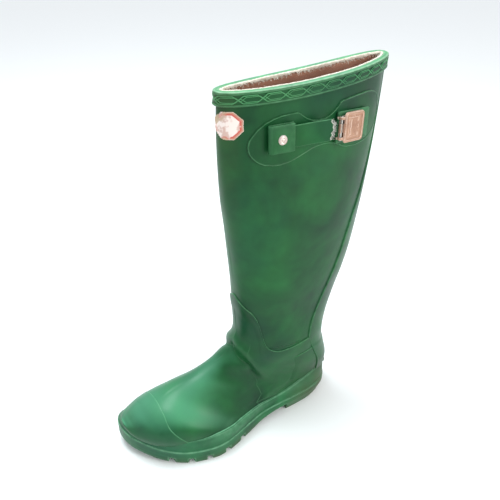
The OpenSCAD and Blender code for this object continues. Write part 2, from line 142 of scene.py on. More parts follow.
def relief(t, a):  # height of the folds and of the rubber's slack, in millimetres
    side = np.abs((np.asarray(a, float) + 180) % 360 - 180)
    fade = 1 - smoothStep(104, 132, side)
    wide = 1 + 0.5 * smoothStep(30, 80, side)
    h = folds["ridgeHigh"] * bump(t, folds["ridge"], side, folds["ridgeWide"] * wide)
    h = h - folds["valleyDeep"] * bump(t, folds["valley"], side, folds["valleyWide"] * wide)
    h = h + folds["secondHigh"] * bump(t, folds["secondRidge"], side, 0.6 * wide)
    slack = np.sin(1.5 * t + 0.035 * a) * np.sin(0.8 * t - 0.022 * a + 1)
    return h * fade + folds["slack"] * slack * smoothStep(3, 5, t) * (1 - smoothStep(19, 21, t))


def skin(t, a, d):
    return surface(t, a) + (np.asarray(d, float) + relief(t, a))[..., None] * outward(t, a)


def levelT(z):
    return np.maximum((400 - np.asarray(z, float)) / 35, 0)


def levelSkin(z, a, d):  # a point of the leg's top part at a height, offset square to the rubber
    out = skin(levelT(z), a, d)
    out[..., 2] = z
    return out


def sideY(x, z):  # the outer side of the leg over a point of the side view
    t = levelT(z)
    i = np.clip(np.floor(t).astype(int), 0, lastT - 1)
    s = smoothCurve(rows[i], rows[i + 1], rows[i + 2], rows[i + 3], (t - i)[..., None])
    p = (x - s[..., 0]) / (s[..., 3] - s[..., 0])
    q = np.where(p > s[..., 9], (p - s[..., 9]) / (1 - s[..., 9]), (s[..., 9] - p) / s[..., 9])
    roundness = (1 - np.minimum(q, 0.999) ** s[..., 7]) ** (1 / s[..., 7])
    straight = s[..., 1] + p * (s[..., 4] - s[..., 1])
    return straight + s[..., 6] * roundness + s[..., 10] * (1 - (2 * p - 1) ** 2)


def sideSkin(x, z, d):
    x, z, d = np.broadcast_arrays(np.asarray(x, float), np.asarray(z, float), np.asarray(d, float))
    slope = [sideY(x - 1, z) - sideY(x + 1, z), np.full(x.shape, 2.0), sideY(x, z - 1) - sideY(x, z + 1)]
    return np.stack([x, sideY(x, z), z], -1) + d[..., None] * unit(np.stack(slope, -1))


def onSide(x, z, turn, tilt=0):  # the place of the hardware on the outer side: local X forward, Z up, Y out
    return (Matrix.Translation((x, float(sideY(np.array(x), np.array(z))), z))
            @ Matrix.Rotation(math.radians(turn), 4, "Z") @ Matrix.Rotation(math.radians(7), 4, "X")
            @ Matrix.Rotation(math.radians(tilt), 4, "Y"))


def outline(inset, perCorner=16):
    c = np.array(form["soleCorners"], float)
    n = len(c)
    u = (np.arange(perCorner) / perCorner)[None, :, None]
    pick = [c[(np.arange(n) + k) % n][:, None, :] for k in (-1, 0, 1, 2)]
    p = smoothCurve(*pick, u).reshape(-1, 2)
    v = unit(np.roll(p, -1, 0) - np.roll(p, 1, 0))
    return p + np.asarray(inset, float).reshape(-1, 1) * np.stack([v[:, 1], -v[:, 0]], 1)


def ramp(x, x0, x1, v0, v1):
    return v0 + (v1 - v0) * smoothStep(x0, x1, x)


def edgeZ(x):
    return ramp(x, 24, 92, 22, 18) + spring(x)


def bottomZ(x):
    return ramp(x, 26, 90, 13, 0) + spring(x)


def gridFaces(r, n, closedRows, closedRing=True):
    k = np.arange(r if closedRows else r - 1)[:, None]
    i = np.arange(n if closedRing else n - 1)[None, :]
    k2, i2 = (k + 1) % r, (i + 1) % n
    f = np.stack(np.broadcast_arrays(k * n + i, k * n + i2, k2 * n + i2, k2 * n + i), -1)
    return f.reshape(-1, 4).tolist()


def loft(rings, closed=False, caps=""):
    rings = np.asarray(rings, float)
    r, n = rings.shape[:2]
    verts = rings.reshape(-1, 3)
    faces = gridFaces(r, n, closed)
    if caps == "strip":  # joins the two halves of each end ring
        for base in (0, (r - 1) * n):
            for i in range(n // 2 - 1):
                faces.append([base + i, base + i + 1, base + n - 2 - i, base + n - 1 - i])
    if caps == "fan":
        for base in (0, (r - 1) * n):
            verts = np.vstack([verts, verts[base:base + n].mean(0)])
            faces += [[base + i, base + (i + 1) % n, len(verts) - 1] for i in range(n)]
    return verts, faces


def joined(parts):
    verts, faces, count = [], [], 0
    for v, f in parts:
        verts.append(np.asarray(v, float))
        faces += [[i + count for i in g] for g in f]
        count += len(v)
    return np.vstack(verts), faces


def sheetOver(t, a, high, low=-0.25):  # a closed sheet over the rubber, its top at the heights given
    top = skin(t, a, high)
    base = skin(t, a, np.full(t.shape, low))
    return loft(np.concatenate([top, base[:, ::-1]], 1), caps="strip")


def finelyEdged(n, length, edge=(0, 0.15, 0.35, 0.6, 0.95, 1.4, 2)):
    e = np.array(edge) / length
    return np.concatenate([e, np.linspace(e[-1], 1 - e[-1], n)[1:-1], (1 - e)[::-1]])


def edgeDistance(p, sides="lrtb"):  # distance in from the chosen sides of a grid of points
    across = np.linalg.norm(np.diff(p, axis=1), axis=2)
    down = np.linalg.norm(np.diff(p, axis=0), axis=2)
    zero1, zero0 = np.zeros((p.shape[0], 1)), np.zeros((1, p.shape[1]))
    left = np.concatenate([zero1, np.cumsum(across, 1)], 1)
    top = np.concatenate([zero0, np.cumsum(down, 0)], 0)
    far = {"l": left, "r": left[:, -1:] - left, "t": top, "b": top[-1:] - top}
    return np.min([far[s] for s in sides], 0)


def rolled(s, high, r, low=-0.2):  # height at a distance in from an edge that rolls over at radius r
    u = np.clip(1 - s / r, 0, 1)
    return low + (high - low) * np.sqrt(1 - u * u)


def finishMesh(obj, merge=1e-6):
    bm = bmesh.new()
    bm.from_mesh(obj.data)
    bmesh.ops.remove_doubles(bm, verts=bm.verts, dist=merge)
    bmesh.ops.dissolve_degenerate(bm, edges=bm.edges, dist=1e-7)
    bmesh.ops.recalc_face_normals(bm, faces=bm.faces)
    bm.to_mesh(obj.data)
    bm.free()
    for f in obj.data.polygons:
        f.use_smooth = True


def addWearAndHighlight(obj, sharp=0.5):  # how far each point stands on an outer edge, more on upward faces as a painted highlight, kept as an attribute
    bm = bmesh.new()
    bm.from_mesh(obj.data)
    wear = np.zeros(len(bm.verts))
    for e in bm.edges:
        if len(e.link_faces) == 2:
            bend = e.calc_face_angle_signed(0)
            for v in e.verts:
                wear[v.index] = max(wear[v.index], bend / sharp)
    facingUp = np.array([v.normal.z for v in bm.verts])
    # edges on upward faces count more: painted highlight where overhead light catches them
    wear = wear * (0.3 + 0.7 * smoothStep(-0.25, 0.45, facingUp))
    bm.free()
    kept = obj.data.attributes.new("wear", "FLOAT", "POINT")
    kept.data.foreach_set("value", np.clip(wear, 0, 1))


def addBloomAndSheen(obj, amount=0.5):  # pale film over the upper faces of the foot: rubber bloom, and a painted sheen of the overhead light
    p = pointsOf(obj)
    up = np.empty(len(p) * 3)
    obj.data.vertices.foreach_get("normal", up)
    onFoot = smoothStep(55, 125, p[:, 0]) * (1 - smoothStep(85, 120, p[:, 2]))
    cloudy = 0.75 + 0.25 * np.sin(p[:, 0] * 0.05 + 1) * np.sin(p[:, 1] * 0.09)
    # weighted to upward faces: painted sheen where the overhead light would shine
    markPoints(obj, "bloom", amount * onFoot * cloudy * smoothStep(0.4, 0.95, up[2::3]))


def markPoints(obj, name, values):
    kept = obj.data.attributes.new(name, "FLOAT", "POINT")
    kept.data.foreach_set("value", np.asarray(values, float))


def pointsOf(obj):
    out = np.empty(len(obj.data.vertices) * 3)
    obj.data.vertices.foreach_get("co", out)
    return out.reshape(-1, 3) * 1000


def addPiece(name, made, material, slot, nodes=(), body="boot", place=None, bevel=0, wear=True, ride=True):
    verts, faces = made
    verts = np.asarray(verts, float)
    if place is not None:
        m = np.array(place)
        verts = verts @ m[:3, :3].T + m[:3, 3]
    mesh = bpy.data.meshes.new(name)
    mesh.from_pydata((verts / 1000).tolist(), [], faces)
    obj = bpy.data.objects.new(name, mesh)
    bpy.context.scene.collection.objects.link(obj)
    finishMesh(obj)
    if bevel:
        bevelSharp(obj, bevel)
    if wear:
        addWearAndHighlight(obj)
    if slot == "green_rubber":
        addBloomAndSheen(obj)
    mesh.materials.append(material)
    if ride:
        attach(obj, body)
    if nodes:
        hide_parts(*nodes)
    print("piece", name, len(mesh.polygons))
    return obj


def bevelSharp(obj, width, angle=35):
    bm = bmesh.new()
    bm.from_mesh(obj.data)
    sharp = [e for e in bm.edges if len(e.link_faces) == 2 and e.calc_face_angle(0) > math.radians(angle)]
    bmesh.ops.bevel(bm, geom=sharp, offset=width / 1000, segments=3, profile=0.5, affect="EDGES",
                    clamp_overlap=True)
    bmesh.ops.recalc_face_normals(bm, faces=bm.faces)
    bm.to_mesh(obj.data)
    bm.free()
    for f in obj.data.polygons:
        f.use_smooth = True


# Materials

def makeGroup(name, inputs, outputs):
    tree = bpy.data.node_groups.new(name, "ShaderNodeTree")
    for label, kind, value in inputs:
        s = tree.interface.new_socket(label, in_out="INPUT", socket_type="NodeSocket" + kind)
        s.default_value = value
    for label, kind in outputs:
        tree.interface.new_socket(label, in_out="OUTPUT", socket_type="NodeSocket" + kind)
    return tree, tree.nodes.new("NodeGroupInput"), tree.nodes.new("NodeGroupOutput")


def addNode(tree, kind, inputs=None, **settings):
    n = tree.nodes.new(kind)
    for k, v in settings.items():
        setattr(n, k, v)
    for k, v in (inputs or {}).items():
        if isinstance(v, bpy.types.NodeSocket):
            tree.links.new(v, n.inputs[k])
        else:
            n.inputs[k].default_value = v
    return n


def mixColours(tree, factor, a, b, blend="MIX"):
    n = addNode(tree, "ShaderNodeMix", {0: factor, 6: a, 7: b}, data_type="RGBA", blend_type=blend)
    return n.outputs[2]


def rangeOf(tree, value, low, high, to0=0.0, to1=1.0):
    n = addNode(tree, "ShaderNodeMapRange", {0: value, 1: low, 2: high, 3: to0, 4: to1})
    return n.outputs[0]


def mathOf(tree, kind, a, b=0.0, clamp=False):
    n = addNode(tree, "ShaderNodeMath", {0: a, 1: b}, operation=kind, use_clamp=clamp)
    return n.outputs[0]


def makeMottle():  # cloudy change between three tones of the rubber, with fine bumps
    tree, i, o = makeGroup(
        "mottle",
        [("Light", "Color", (0, 0, 0, 1)), ("Deep", "Color", (0, 0, 0, 1)), ("Cool", "Color", (0, 0, 0, 1)),
         ("Cloud size", "Float", 14), ("Cool amount", "Float", 0.5), ("Rough low", "Float", 0.3),
         ("Rough high", "Float", 0.5)],
        [("Colour", "Color"), ("Roughness", "Float"), ("Height", "Float")])
    where = addNode(tree, "ShaderNodeTexCoord").outputs["Object"]
    cloud = addNode(tree, "ShaderNodeTexNoise", {"Vector": where, "Scale": i.outputs["Cloud size"],
                                                 "Detail": 4.0, "Roughness": 0.55, "Distortion": 0.4})
    cool = addNode(tree, "ShaderNodeTexNoise", {"Vector": where, "Scale": 9.0, "Detail": 3.0,
                                                "Roughness": 0.5})
    fine = addNode(tree, "ShaderNodeTexNoise", {"Vector": where, "Scale": 900.0, "Detail": 3.0})
    broad = addNode(tree, "ShaderNodeTexNoise", {"Vector": where, "Scale": 70.0, "Detail": 5.0})
    tone = mixColours(tree, rangeOf(tree, cloud.outputs[0], 0.35, 0.66), i.outputs["Deep"],
                      i.outputs["Light"])
    share = mathOf(tree, "MULTIPLY", rangeOf(tree, cool.outputs[0], 0.48, 0.68), i.outputs["Cool amount"])
    tone = mixColours(tree, share, tone, i.outputs["Cool"])
    speck = rangeOf(tree, broad.outputs[0], 0.3, 0.75, 0.86, 1.1)
    grey = addNode(tree, "ShaderNodeCombineColor", {0: speck, 1: speck, 2: speck}).outputs[0]
    tone = mixColours(tree, 1.0, tone, grey, "MULTIPLY")
    rough = addNode(tree, "ShaderNodeMapRange", {0: broad.outputs[0], 1: 0.3, 2: 0.7,
                                                 3: i.outputs["Rough low"], 4: i.outputs["Rough high"]})
    high = mathOf(tree, "ADD", mathOf(tree, "MULTIPLY", fine.outputs[0], 0.25), broad.outputs[0])
    tree.links.new(tone, o.inputs["Colour"])
    tree.links.new(rough.outputs[0], o.inputs["Roughness"])
    tree.links.new(high, o.inputs["Height"])
    return tree


def makeEdgeWearAndHighlight():  # paler tone where the piece's edges are rubbed, and a painted highlight on the upper edges
    tree, i, o = makeGroup(
        "edgeWearAndHighlight", [("Colour", "Color", (0, 0, 0, 1)), ("Worn", "Color", (1, 1, 1, 1)),
                     ("Amount", "Float", 0.6)],
        [("Colour", "Color")])
    where = addNode(tree, "ShaderNodeTexCoord").outputs["Object"]
    worn = addNode(tree, "ShaderNodeAttribute", attribute_name="wear").outputs["Fac"]
    patchy = addNode(tree, "ShaderNodeTexNoise", {"Vector": where, "Scale": 160.0, "Detail": 3.0})
    share = mathOf(tree, "MULTIPLY", worn, rangeOf(tree, patchy.outputs[0], 0.3, 0.6, 0.45, 1.0))
    share = mathOf(tree, "MULTIPLY", share, i.outputs["Amount"], True)
    tree.links.new(mixColours(tree, share, i.outputs["Colour"], i.outputs["Worn"]), o.inputs["Colour"])
    return tree


def makeDirt():  # brown dust over the heel and low on the sole, and a browner, darker tone up the shin's front edge
    tree, i, o = makeGroup(
        "dirt", [("Colour", "Color", (0, 0, 0, 1)), ("Dirt", "Color", (0.08, 0.05, 0.025, 1)),
                 ("Amount", "Float", 0.5)], [("Colour", "Color")])
    where = addNode(tree, "ShaderNodeTexCoord").outputs["Object"]
    xyz = addNode(tree, "ShaderNodeSeparateXYZ", {0: where})
    spots = addNode(tree, "ShaderNodeTexNoise",
                    {"Vector": where, "Scale": 32.0, "Detail": 6.0, "Roughness": 0.65})
    heel = mathOf(tree, "MULTIPLY", rangeOf(tree, xyz.outputs[0], 0.03, -0.04),
                  rangeOf(tree, xyz.outputs[2], 0.07, 0.01))
    shin = mathOf(tree, "MULTIPLY", rangeOf(tree, xyz.outputs[0], 0.082, 0.1),
                  rangeOf(tree, xyz.outputs[2], 0.2, 0.32))
    sole = rangeOf(tree, xyz.outputs[2], 0.012, 0.0, 0.0, 0.6)
    total = mathOf(tree, "ADD", mathOf(tree, "MAXIMUM", heel, sole), mathOf(tree, "MULTIPLY", shin, 0.55))
    total = mathOf(tree, "MULTIPLY", total, rangeOf(tree, spots.outputs[0], 0.32, 0.62, 0.25, 1.0))
    total = mathOf(tree, "MULTIPLY", total, i.outputs["Amount"], True)
    tree.links.new(mixColours(tree, total, i.outputs["Colour"], i.outputs["Dirt"]), o.inputs["Colour"])
    return tree


def makeWeave():  # plain weave over the height and the way round, as a height and a shade
    tree, i, o = makeGroup("weave", [("Threads", "Float", 900)], [("Height", "Float"), ("Shade", "Float")])
    where = addNode(tree, "ShaderNodeTexCoord").outputs["Object"]
    waves = []
    for axis in ("X", "Z"):
        w = addNode(tree, "ShaderNodeTexWave", {"Vector": where, "Scale": i.outputs["Threads"],
                                                "Distortion": 1.2, "Detail": 1.0},
                    wave_type="BANDS", bands_direction=axis)
        waves.append(w.outputs[1])
    high = mathOf(tree, "MULTIPLY", waves[0], waves[1])
    tree.links.new(high, o.inputs["Height"])
    tree.links.new(rangeOf(tree, high, 0.0, 1.0, 0.78, 1.12), o.inputs["Shade"])
    return tree


shared = {"mottle": makeMottle(), "edgeWearAndHighlight": makeEdgeWearAndHighlight(), "dirt": makeDirt(), "weave": makeWeave()}


def useGroup(tree, name, **values):
    g = tree.nodes.new("ShaderNodeGroup")
    g.node_tree = shared[name]
    for k, v in values.items():
        label = k[0].upper() + "".join(" " + c.lower() if c.isupper() else c for c in k[1:])
        if isinstance(v, bpy.types.NodeSocket):
            tree.links.new(v, g.inputs[label])
        else:
            g.inputs[label].default_value = v
    return g


def startMaterial(name, **constants):
    mat = bpy.data.materials.new(name)
    mat.use_nodes = True
    shader = mat.node_tree.nodes["Principled BSDF"]
    for k, v in constants.items():
        shader.inputs[k.replace("_", " ")].default_value = v
    return mat, mat.node_tree, shader


def addBump(tree, shader, height, strength, distance):
    b = addNode(tree, "ShaderNodeBump", {"Strength": strength, "Distance": distance, "Height": height})
    tree.links.new(b.outputs[0], shader.inputs["Normal"])


def makeRubber(name, look):
    mat, tree, shader = startMaterial(name, Coat_Weight=look["coat"], Coat_Roughness=look["coatRough"],
                                      Specular_IOR_Level=look["shine"])
    m = useGroup(tree, "mottle", light=look["light"], deep=look["deep"], cool=look["cool"],
                 cloudSize=look["cloud"], coolAmount=look["coolAmount"],
                 roughLow=look["rough"][0], roughHigh=look["rough"][1])
    # rubbed edges, partly a painted highlight on the upper edges
    w = useGroup(tree, "edgeWearAndHighlight", colour=m.outputs["Colour"], worn=look["worn"], amount=look["wear"])
    d = useGroup(tree, "dirt", colour=w.outputs[0], amount=look["dirt"])
    # pale film: rubber bloom, and a painted sheen on the foot's upper faces
    bloomAndSheenShare = addNode(tree, "ShaderNodeAttribute", attribute_name="bloom").outputs["Fac"]
    pale = mixColours(tree, bloomAndSheenShare, d.outputs[0], look["bloom"])
    tree.links.new(pale, shader.inputs["Base Color"])
    tree.links.new(m.outputs["Roughness"], shader.inputs["Roughness"])
    addBump(tree, shader, m.outputs["Height"], look["bump"], 0.0006)
    return mat


# each look's bloom colour is the pale film of rubber bloom and painted sheen
rubberLook = {
    "light": (0.013, 0.120, 0.028, 1), "deep": (0.003, 0.040, 0.014, 1), "cool": (0.003, 0.045, 0.027, 1),
    "worn": (0.14, 0.38, 0.18, 1), "cloud": 10, "coolAmount": 0.6, "rough": (0.30, 0.42), "shine": 0.18,
    "coat": 0.03, "coatRough": 0.25, "wear": 0.45, "dirt": 0.4, "bump": 0.12, "bloom": (0.12, 0.42, 0.24, 1)}
soleLook = {
    "light": (0.018, 0.140, 0.046, 1), "deep": (0.006, 0.064, 0.024, 1), "cool": (0.010, 0.080, 0.044, 1),
    "worn": (0.20, 0.46, 0.27, 1), "cloud": 20, "coolAmount": 0.5, "rough": (0.38, 0.52), "shine": 0.2,
    "coat": 0.02, "coatRough": 0.35, "wear": 0.6, "dirt": 0.9, "bump": 0.2, "bloom": (0.20, 0.50, 0.34, 1)}
# paler copy of the green rubber for the top rim: painted highlight on the upward-facing edge
litRimLook = {
    "light": (0.06, 0.26, 0.10, 1), "deep": (0.03, 0.17, 0.07, 1), "cool": (0.05, 0.22, 0.12, 1),
    "worn": (0.50, 0.68, 0.50, 1), "cloud": 30, "coolAmount": 0.5, "rough": (0.4, 0.6), "shine": 0.2,
    "coat": 0.0, "coatRough": 0.3, "wear": 0.4, "dirt": 0.2, "bump": 0.2, "bloom": (0.30, 0.55, 0.40, 1)}
greenRubber = makeRubber("greenRubber", rubberLook)
soleRubber = makeRubber("soleRubber", soleLook)
litRimRubber = makeRubber("litRimRubber", litRimLook)


def makeFabric(name, look):
    mat, tree, shader = startMaterial(name, Sheen_Weight=look["sheen"], Sheen_Roughness=0.5, Roughness=0.9)
    weave = useGroup(tree, "weave", threads=look["threads"])
    where = addNode(tree, "ShaderNodeTexCoord").outputs["Object"]
    cloud = addNode(tree, "ShaderNodeTexNoise", {"Vector": where, "Scale": look["cloud"], "Detail": 6.0})
    tone = mixColours(tree, rangeOf(tree, cloud.outputs[0], 0.35, 0.65), look["deep"], look["light"])
    s = weave.outputs["Shade"]
    grey = addNode(tree, "ShaderNodeCombineColor", {0: s, 1: s, 2: s}).outputs[0]
    tone = mixColours(tree, 1.0, tone, grey, "MULTIPLY")
    if look["seam"]:
        seam = addNode(tree, "ShaderNodeAttribute", attribute_name="seam").outputs["Fac"]
        tone = mixColours(tree, seam, tone, look["seam"])
    tree.links.new(tone, shader.inputs["Base Color"])
    high = mathOf(tree, "ADD", weave.outputs["Height"], cloud.outputs[0])
    addBump(tree, shader, high, 0.5, 0.0005)
    return mat


liningFabric = makeFabric("liningFabric", {
    "light": (0.52, 0.25, 0.16, 1), "deep": (0.34, 0.14, 0.08, 1), "threads": 420, "cloud": 30,
    "sheen": 0.25, "seam": (0.03, 0.02, 0.02, 1)})
hemFabric = makeFabric("hemFabric", {
    "light": (0.86, 0.80, 0.68, 1), "deep": (0.62, 0.52, 0.42, 1), "threads": 500, "cloud": 260,
    "sheen": 0.2, "seam": None})
footbedFabric = makeFabric("footbedFabric", {
    "light": (0.46, 0.24, 0.16, 1), "deep": (0.30, 0.14, 0.09, 1), "threads": 360, "cloud": 40,
    "sheen": 0.2, "seam": None})
cordFabric = makeFabric("cordFabric", {
    "light": (0.80, 0.78, 0.72, 1), "deep": (0.55, 0.53, 0.46, 1), "threads": 700, "cloud": 300,
    "sheen": 0.1, "seam": None})
fillerBoard = makeFabric("fillerBoard", {
    "light": (0.45, 0.33, 0.20, 1), "deep": (0.30, 0.21, 0.12, 1), "threads": 260, "cloud": 120,
    "sheen": 0.0, "seam": None})


def makeSteel(name, look):
    mat, tree, shader = startMaterial(name)
    where = addNode(tree, "ShaderNodeTexCoord").outputs["Object"]
    stain = addNode(tree, "ShaderNodeTexNoise", {"Vector": where, "Scale": look["stain"], "Detail": 6.0,
                                                 "Roughness": 0.65})
    scratch = addNode(tree, "ShaderNodeTexNoise", {"Vector": where, "Scale": 1200.0, "Detail": 2.0})
    share = rangeOf(tree, stain.outputs[0], 0.40, 0.62)
    tone = mixColours(tree, share, look["bright"], look["stained"])
    # rubbed edges, partly a painted highlight on the upper edges
    w = useGroup(tree, "edgeWearAndHighlight", colour=tone, worn=look["worn"], amount=look["wear"])
    tree.links.new(w.outputs[0], shader.inputs["Base Color"])
    tree.links.new(rangeOf(tree, share, 0.0, 1.0, look["metal"], look["metal"] * 0.5),
                   shader.inputs["Metallic"])
    tree.links.new(rangeOf(tree, share, 0.0, 1.0, 0.34, 0.62), shader.inputs["Roughness"])
    high = mathOf(tree, "ADD", stain.outputs[0], mathOf(tree, "MULTIPLY", scratch.outputs[0], 0.3))
    addBump(tree, shader, high, 0.12, 0.0002)
    return mat


copperSteel = makeSteel("copperSteel", {
    "bright": (0.46, 0.25, 0.16, 1), "stained": (0.32, 0.16, 0.10, 1), "worn": (0.86, 0.64, 0.52, 1),
    "wear": 0.9, "metal": 0.5, "stain": 80})
paleSteel = makeSteel("paleSteel", {
    "bright": (0.66, 0.56, 0.50, 1), "stained": (0.42, 0.26, 0.22, 1), "worn": (1.0, 0.96, 0.94, 1),
    "wear": 0.5, "metal": 0.55, "stain": 420})
pinSteel = makeSteel("pinSteel", {
    "bright": (0.55, 0.54, 0.52, 1), "stained": (0.30, 0.26, 0.22, 1), "worn": (0.8, 0.8, 0.78, 1),
    "wear": 0.4, "metal": 0.9, "stain": 300})


def makeLabelPaper():
    look = {"paper": (0.84, 0.72, 0.66, 1), "smudge": (0.62, 0.42, 0.36, 1), "border": (0.55, 0.05, 0.035, 1),
            "glue": (0.50, 0.36, 0.24, 1)}
    mat, tree, shader = startMaterial("labelPaper", Roughness=0.6)
    where = addNode(tree, "ShaderNodeTexCoord").outputs["Object"]
    smudge = addNode(tree, "ShaderNodeTexNoise", {"Vector": where, "Scale": 170.0, "Detail": 5.0})
    tear = addNode(tree, "ShaderNodeTexNoise", {"Vector": where, "Scale": 110.0, "Detail": 4.0})
    inset = addNode(tree, "ShaderNodeAttribute", attribute_name="inset").outputs["Fac"]
    tone = mixColours(tree, rangeOf(tree, smudge.outputs[0], 0.5, 0.6), look["paper"], look["smudge"])
    border = mathOf(tree, "MULTIPLY", rangeOf(tree, inset, 0.26, 0.22), rangeOf(tree, inset, 0.03, 0.06))
    border = mathOf(tree, "MULTIPLY", border, rangeOf(tree, tear.outputs[0], 0.42, 0.5))
    tone = mixColours(tree, border, tone, look["border"])
    torn = addNode(tree, "ShaderNodeAttribute", attribute_name="torn").outputs["Fac"]
    torn = mathOf(tree, "MULTIPLY", torn, rangeOf(tree, tear.outputs[0], 0.46, 0.5))
    tone = mixColours(tree, torn, tone, look["glue"])
    tree.links.new(tone, shader.inputs["Base Color"])
    addBump(tree, shader, tear.outputs[0], 0.5, 0.0008)
    return mat


labelPaper = makeLabelPaper()
print("materials made")

# Geometry Nodes

def newTree(name, inputs):
    tree = bpy.data.node_groups.new(name, "GeometryNodeTree")
    tree.interface.new_socket("Geometry", in_out="INPUT", socket_type="NodeSocketGeometry")
    tree.interface.new_socket("Geometry", in_out="OUTPUT", socket_type="NodeSocketGeometry")
    for label, kind, value in inputs:
        s = tree.interface.new_socket(label, in_out="INPUT", socket_type="NodeSocket" + kind)
        if value is not None:
            s.default_value = value
    return tree, tree.nodes.new("NodeGroupInput"), tree.nodes.new("NodeGroupOutput")


def makeChainTree():  # two mirrored trapezium waves along a path, with smaller loops inside them
    tree, i, o = newTree("bandChain", [
        ("Links", "Int", 20), ("Height", "Float", 0.006), ("Inner gap", "Float", 0.001),
        ("Thread", "Float", 0.0003), ("Material", "Material", None)])
    path = addNode(tree, "GeometryNodeMeshToCurve", {"Mesh": i.outputs["Geometry"]})
    count = mathOf(tree, "MULTIPLY", i.outputs["Links"], 28.0)
    path = addNode(tree, "GeometryNodeResampleCurve", {"Curve": path.outputs[0], "Count": count},
                   mode="COUNT")
    along = mathOf(tree, "MULTIPLY", addNode(tree, "GeometryNodeSplineParameter").outputs[0],
                   i.outputs["Links"])
    tri = mathOf(tree, "ABSOLUTE", mathOf(tree, "SUBTRACT", mathOf(tree, "FRACT", along), 0.5))
    wave = mathOf(tree, "MULTIPLY", mathOf(tree, "SUBTRACT", 0.5, tri), 4.6, True)
    half = mathOf(tree, "MULTIPLY", i.outputs["Height"], 0.5)
    inner = mathOf(tree, "SUBTRACT", mathOf(tree, "MULTIPLY", wave, half), i.outputs["Inner gap"])
    joinAll = tree.nodes.new("GeometryNodeJoinGeometry")
    ring = addNode(tree, "GeometryNodeCurvePrimitiveCircle", {"Resolution": 6, "Radius": i.outputs["Thread"]})
    thin = addNode(tree, "GeometryNodeCurvePrimitiveCircle",
                   {"Resolution": 6, "Radius": mathOf(tree, "MULTIPLY", i.outputs["Thread"], 0.75)})
    for sign in (1.0, -1.0):
        lift = mathOf(tree, "MULTIPLY", mathOf(tree, "MULTIPLY", wave, half), sign)
        up = addNode(tree, "ShaderNodeCombineXYZ", {2: lift})
        line = addNode(tree, "GeometryNodeSetPosition",
                       {"Geometry": path.outputs[0], "Offset": up.outputs[0]})
        solid = addNode(tree, "GeometryNodeCurveToMesh",
                        {"Curve": line.outputs[0], "Profile Curve": ring.outputs[0]})
        tree.links.new(solid.outputs[0], joinAll.inputs[0])
        small = addNode(tree, "GeometryNodeDeleteGeometry", {
            "Geometry": path.outputs[0],
            "Selection": addNode(tree, "FunctionNodeCompare", {0: inner, 1: 0.0},
                                 operation="LESS_THAN").outputs[0]},
            domain="POINT")
        up = addNode(tree, "ShaderNodeCombineXYZ", {2: mathOf(tree, "MULTIPLY", inner, sign)})
        line = addNode(tree, "GeometryNodeSetPosition",
                       {"Geometry": small.outputs[0], "Offset": up.outputs[0]})
        solid = addNode(tree, "GeometryNodeCurveToMesh",
                        {"Curve": line.outputs[0], "Profile Curve": thin.outputs[0]})
        tree.links.new(solid.outputs[0], joinAll.inputs[0])
    real = addNode(tree, "GeometryNodeRealizeInstances", {0: joinAll.outputs[0]})
    done = addNode(tree, "GeometryNodeSetMaterial",
                   {"Geometry": real.outputs[0], "Material": i.outputs["Material"]})
    tree.links.new(done.outputs[0], o.inputs[0])
    return tree


def makeFrayTree():  # loose bent threads that stand on a path, each turned and sized at random
    tree, i, o = newTree("frayedThreads", [
        ("Count", "Int", 300), ("Length", "Float", 0.004), ("Thread", "Float", 0.0002),
        ("Seed", "Int", 3), ("Material", "Material", None)])
    path = addNode(tree, "GeometryNodeMeshToCurve", {"Mesh": i.outputs["Geometry"]})
    path = addNode(tree, "GeometryNodeResampleCurve", {"Curve": path.outputs[0], "Count": i.outputs["Count"]},
                   mode="COUNT")
    strand = addNode(tree, "GeometryNodeCurvePrimitiveBezierSegment", {
        "Resolution": 5, "Start": (0, 0, 0), "Start Handle": (0, 0, 0.4), "End Handle": (0.35, 0, 0.7),
        "End": (0.6, 0.15, 0.95)}, mode="POSITION")
    size = addNode(tree, "GeometryNodeTransform", {
        "Geometry": strand.outputs[0],
        "Scale": addNode(tree, "ShaderNodeCombineXYZ", {0: i.outputs["Length"], 1: i.outputs["Length"],
                                                        2: i.outputs["Length"]}).outputs[0]})
    ring = addNode(tree, "GeometryNodeCurvePrimitiveCircle", {"Resolution": 4, "Radius": i.outputs["Thread"]})
    thread = addNode(tree, "GeometryNodeCurveToMesh",
                     {"Curve": size.outputs[0], "Profile Curve": ring.outputs[0],
                                                       "Fill Caps": True})
    facing = addNode(tree, "GeometryNodeInputNamedAttribute", {"Name": "facing"}, data_type="FLOAT_VECTOR")
    aim = addNode(tree, "FunctionNodeAlignRotationToVector", {"Vector": facing.outputs[0]}, axis="Z")
    turn = addNode(tree, "FunctionNodeRandomValue",
                   {0: (-0.9, -0.9, 0.0), 1: (0.9, 0.9, 6.28), "Seed": i.outputs["Seed"]},
                   data_type="FLOAT_VECTOR")
    turn = addNode(tree, "FunctionNodeEulerToRotation", {0: turn.outputs[0]})
    both = addNode(tree, "FunctionNodeRotateRotation", {0: aim.outputs[0], 1: turn.outputs[0]},
                   rotation_space="LOCAL")
    grow = addNode(tree, "FunctionNodeRandomValue", {2: 0.35, 3: 1.2, "Seed": i.outputs["Seed"]},
                   data_type="FLOAT")
    spread = addNode(tree, "GeometryNodeInstanceOnPoints", {
        "Points": path.outputs[0], "Instance": thread.outputs[0], "Rotation": both.outputs[0],
        "Scale": grow.outputs[1]})
    real = addNode(tree, "GeometryNodeRealizeInstances", {0: spread.outputs[0]})
    done = addNode(tree, "GeometryNodeSetMaterial",
                   {"Geometry": real.outputs[0], "Material": i.outputs["Material"]})
    tree.links.new(done.outputs[0], o.inputs[0])
    return tree


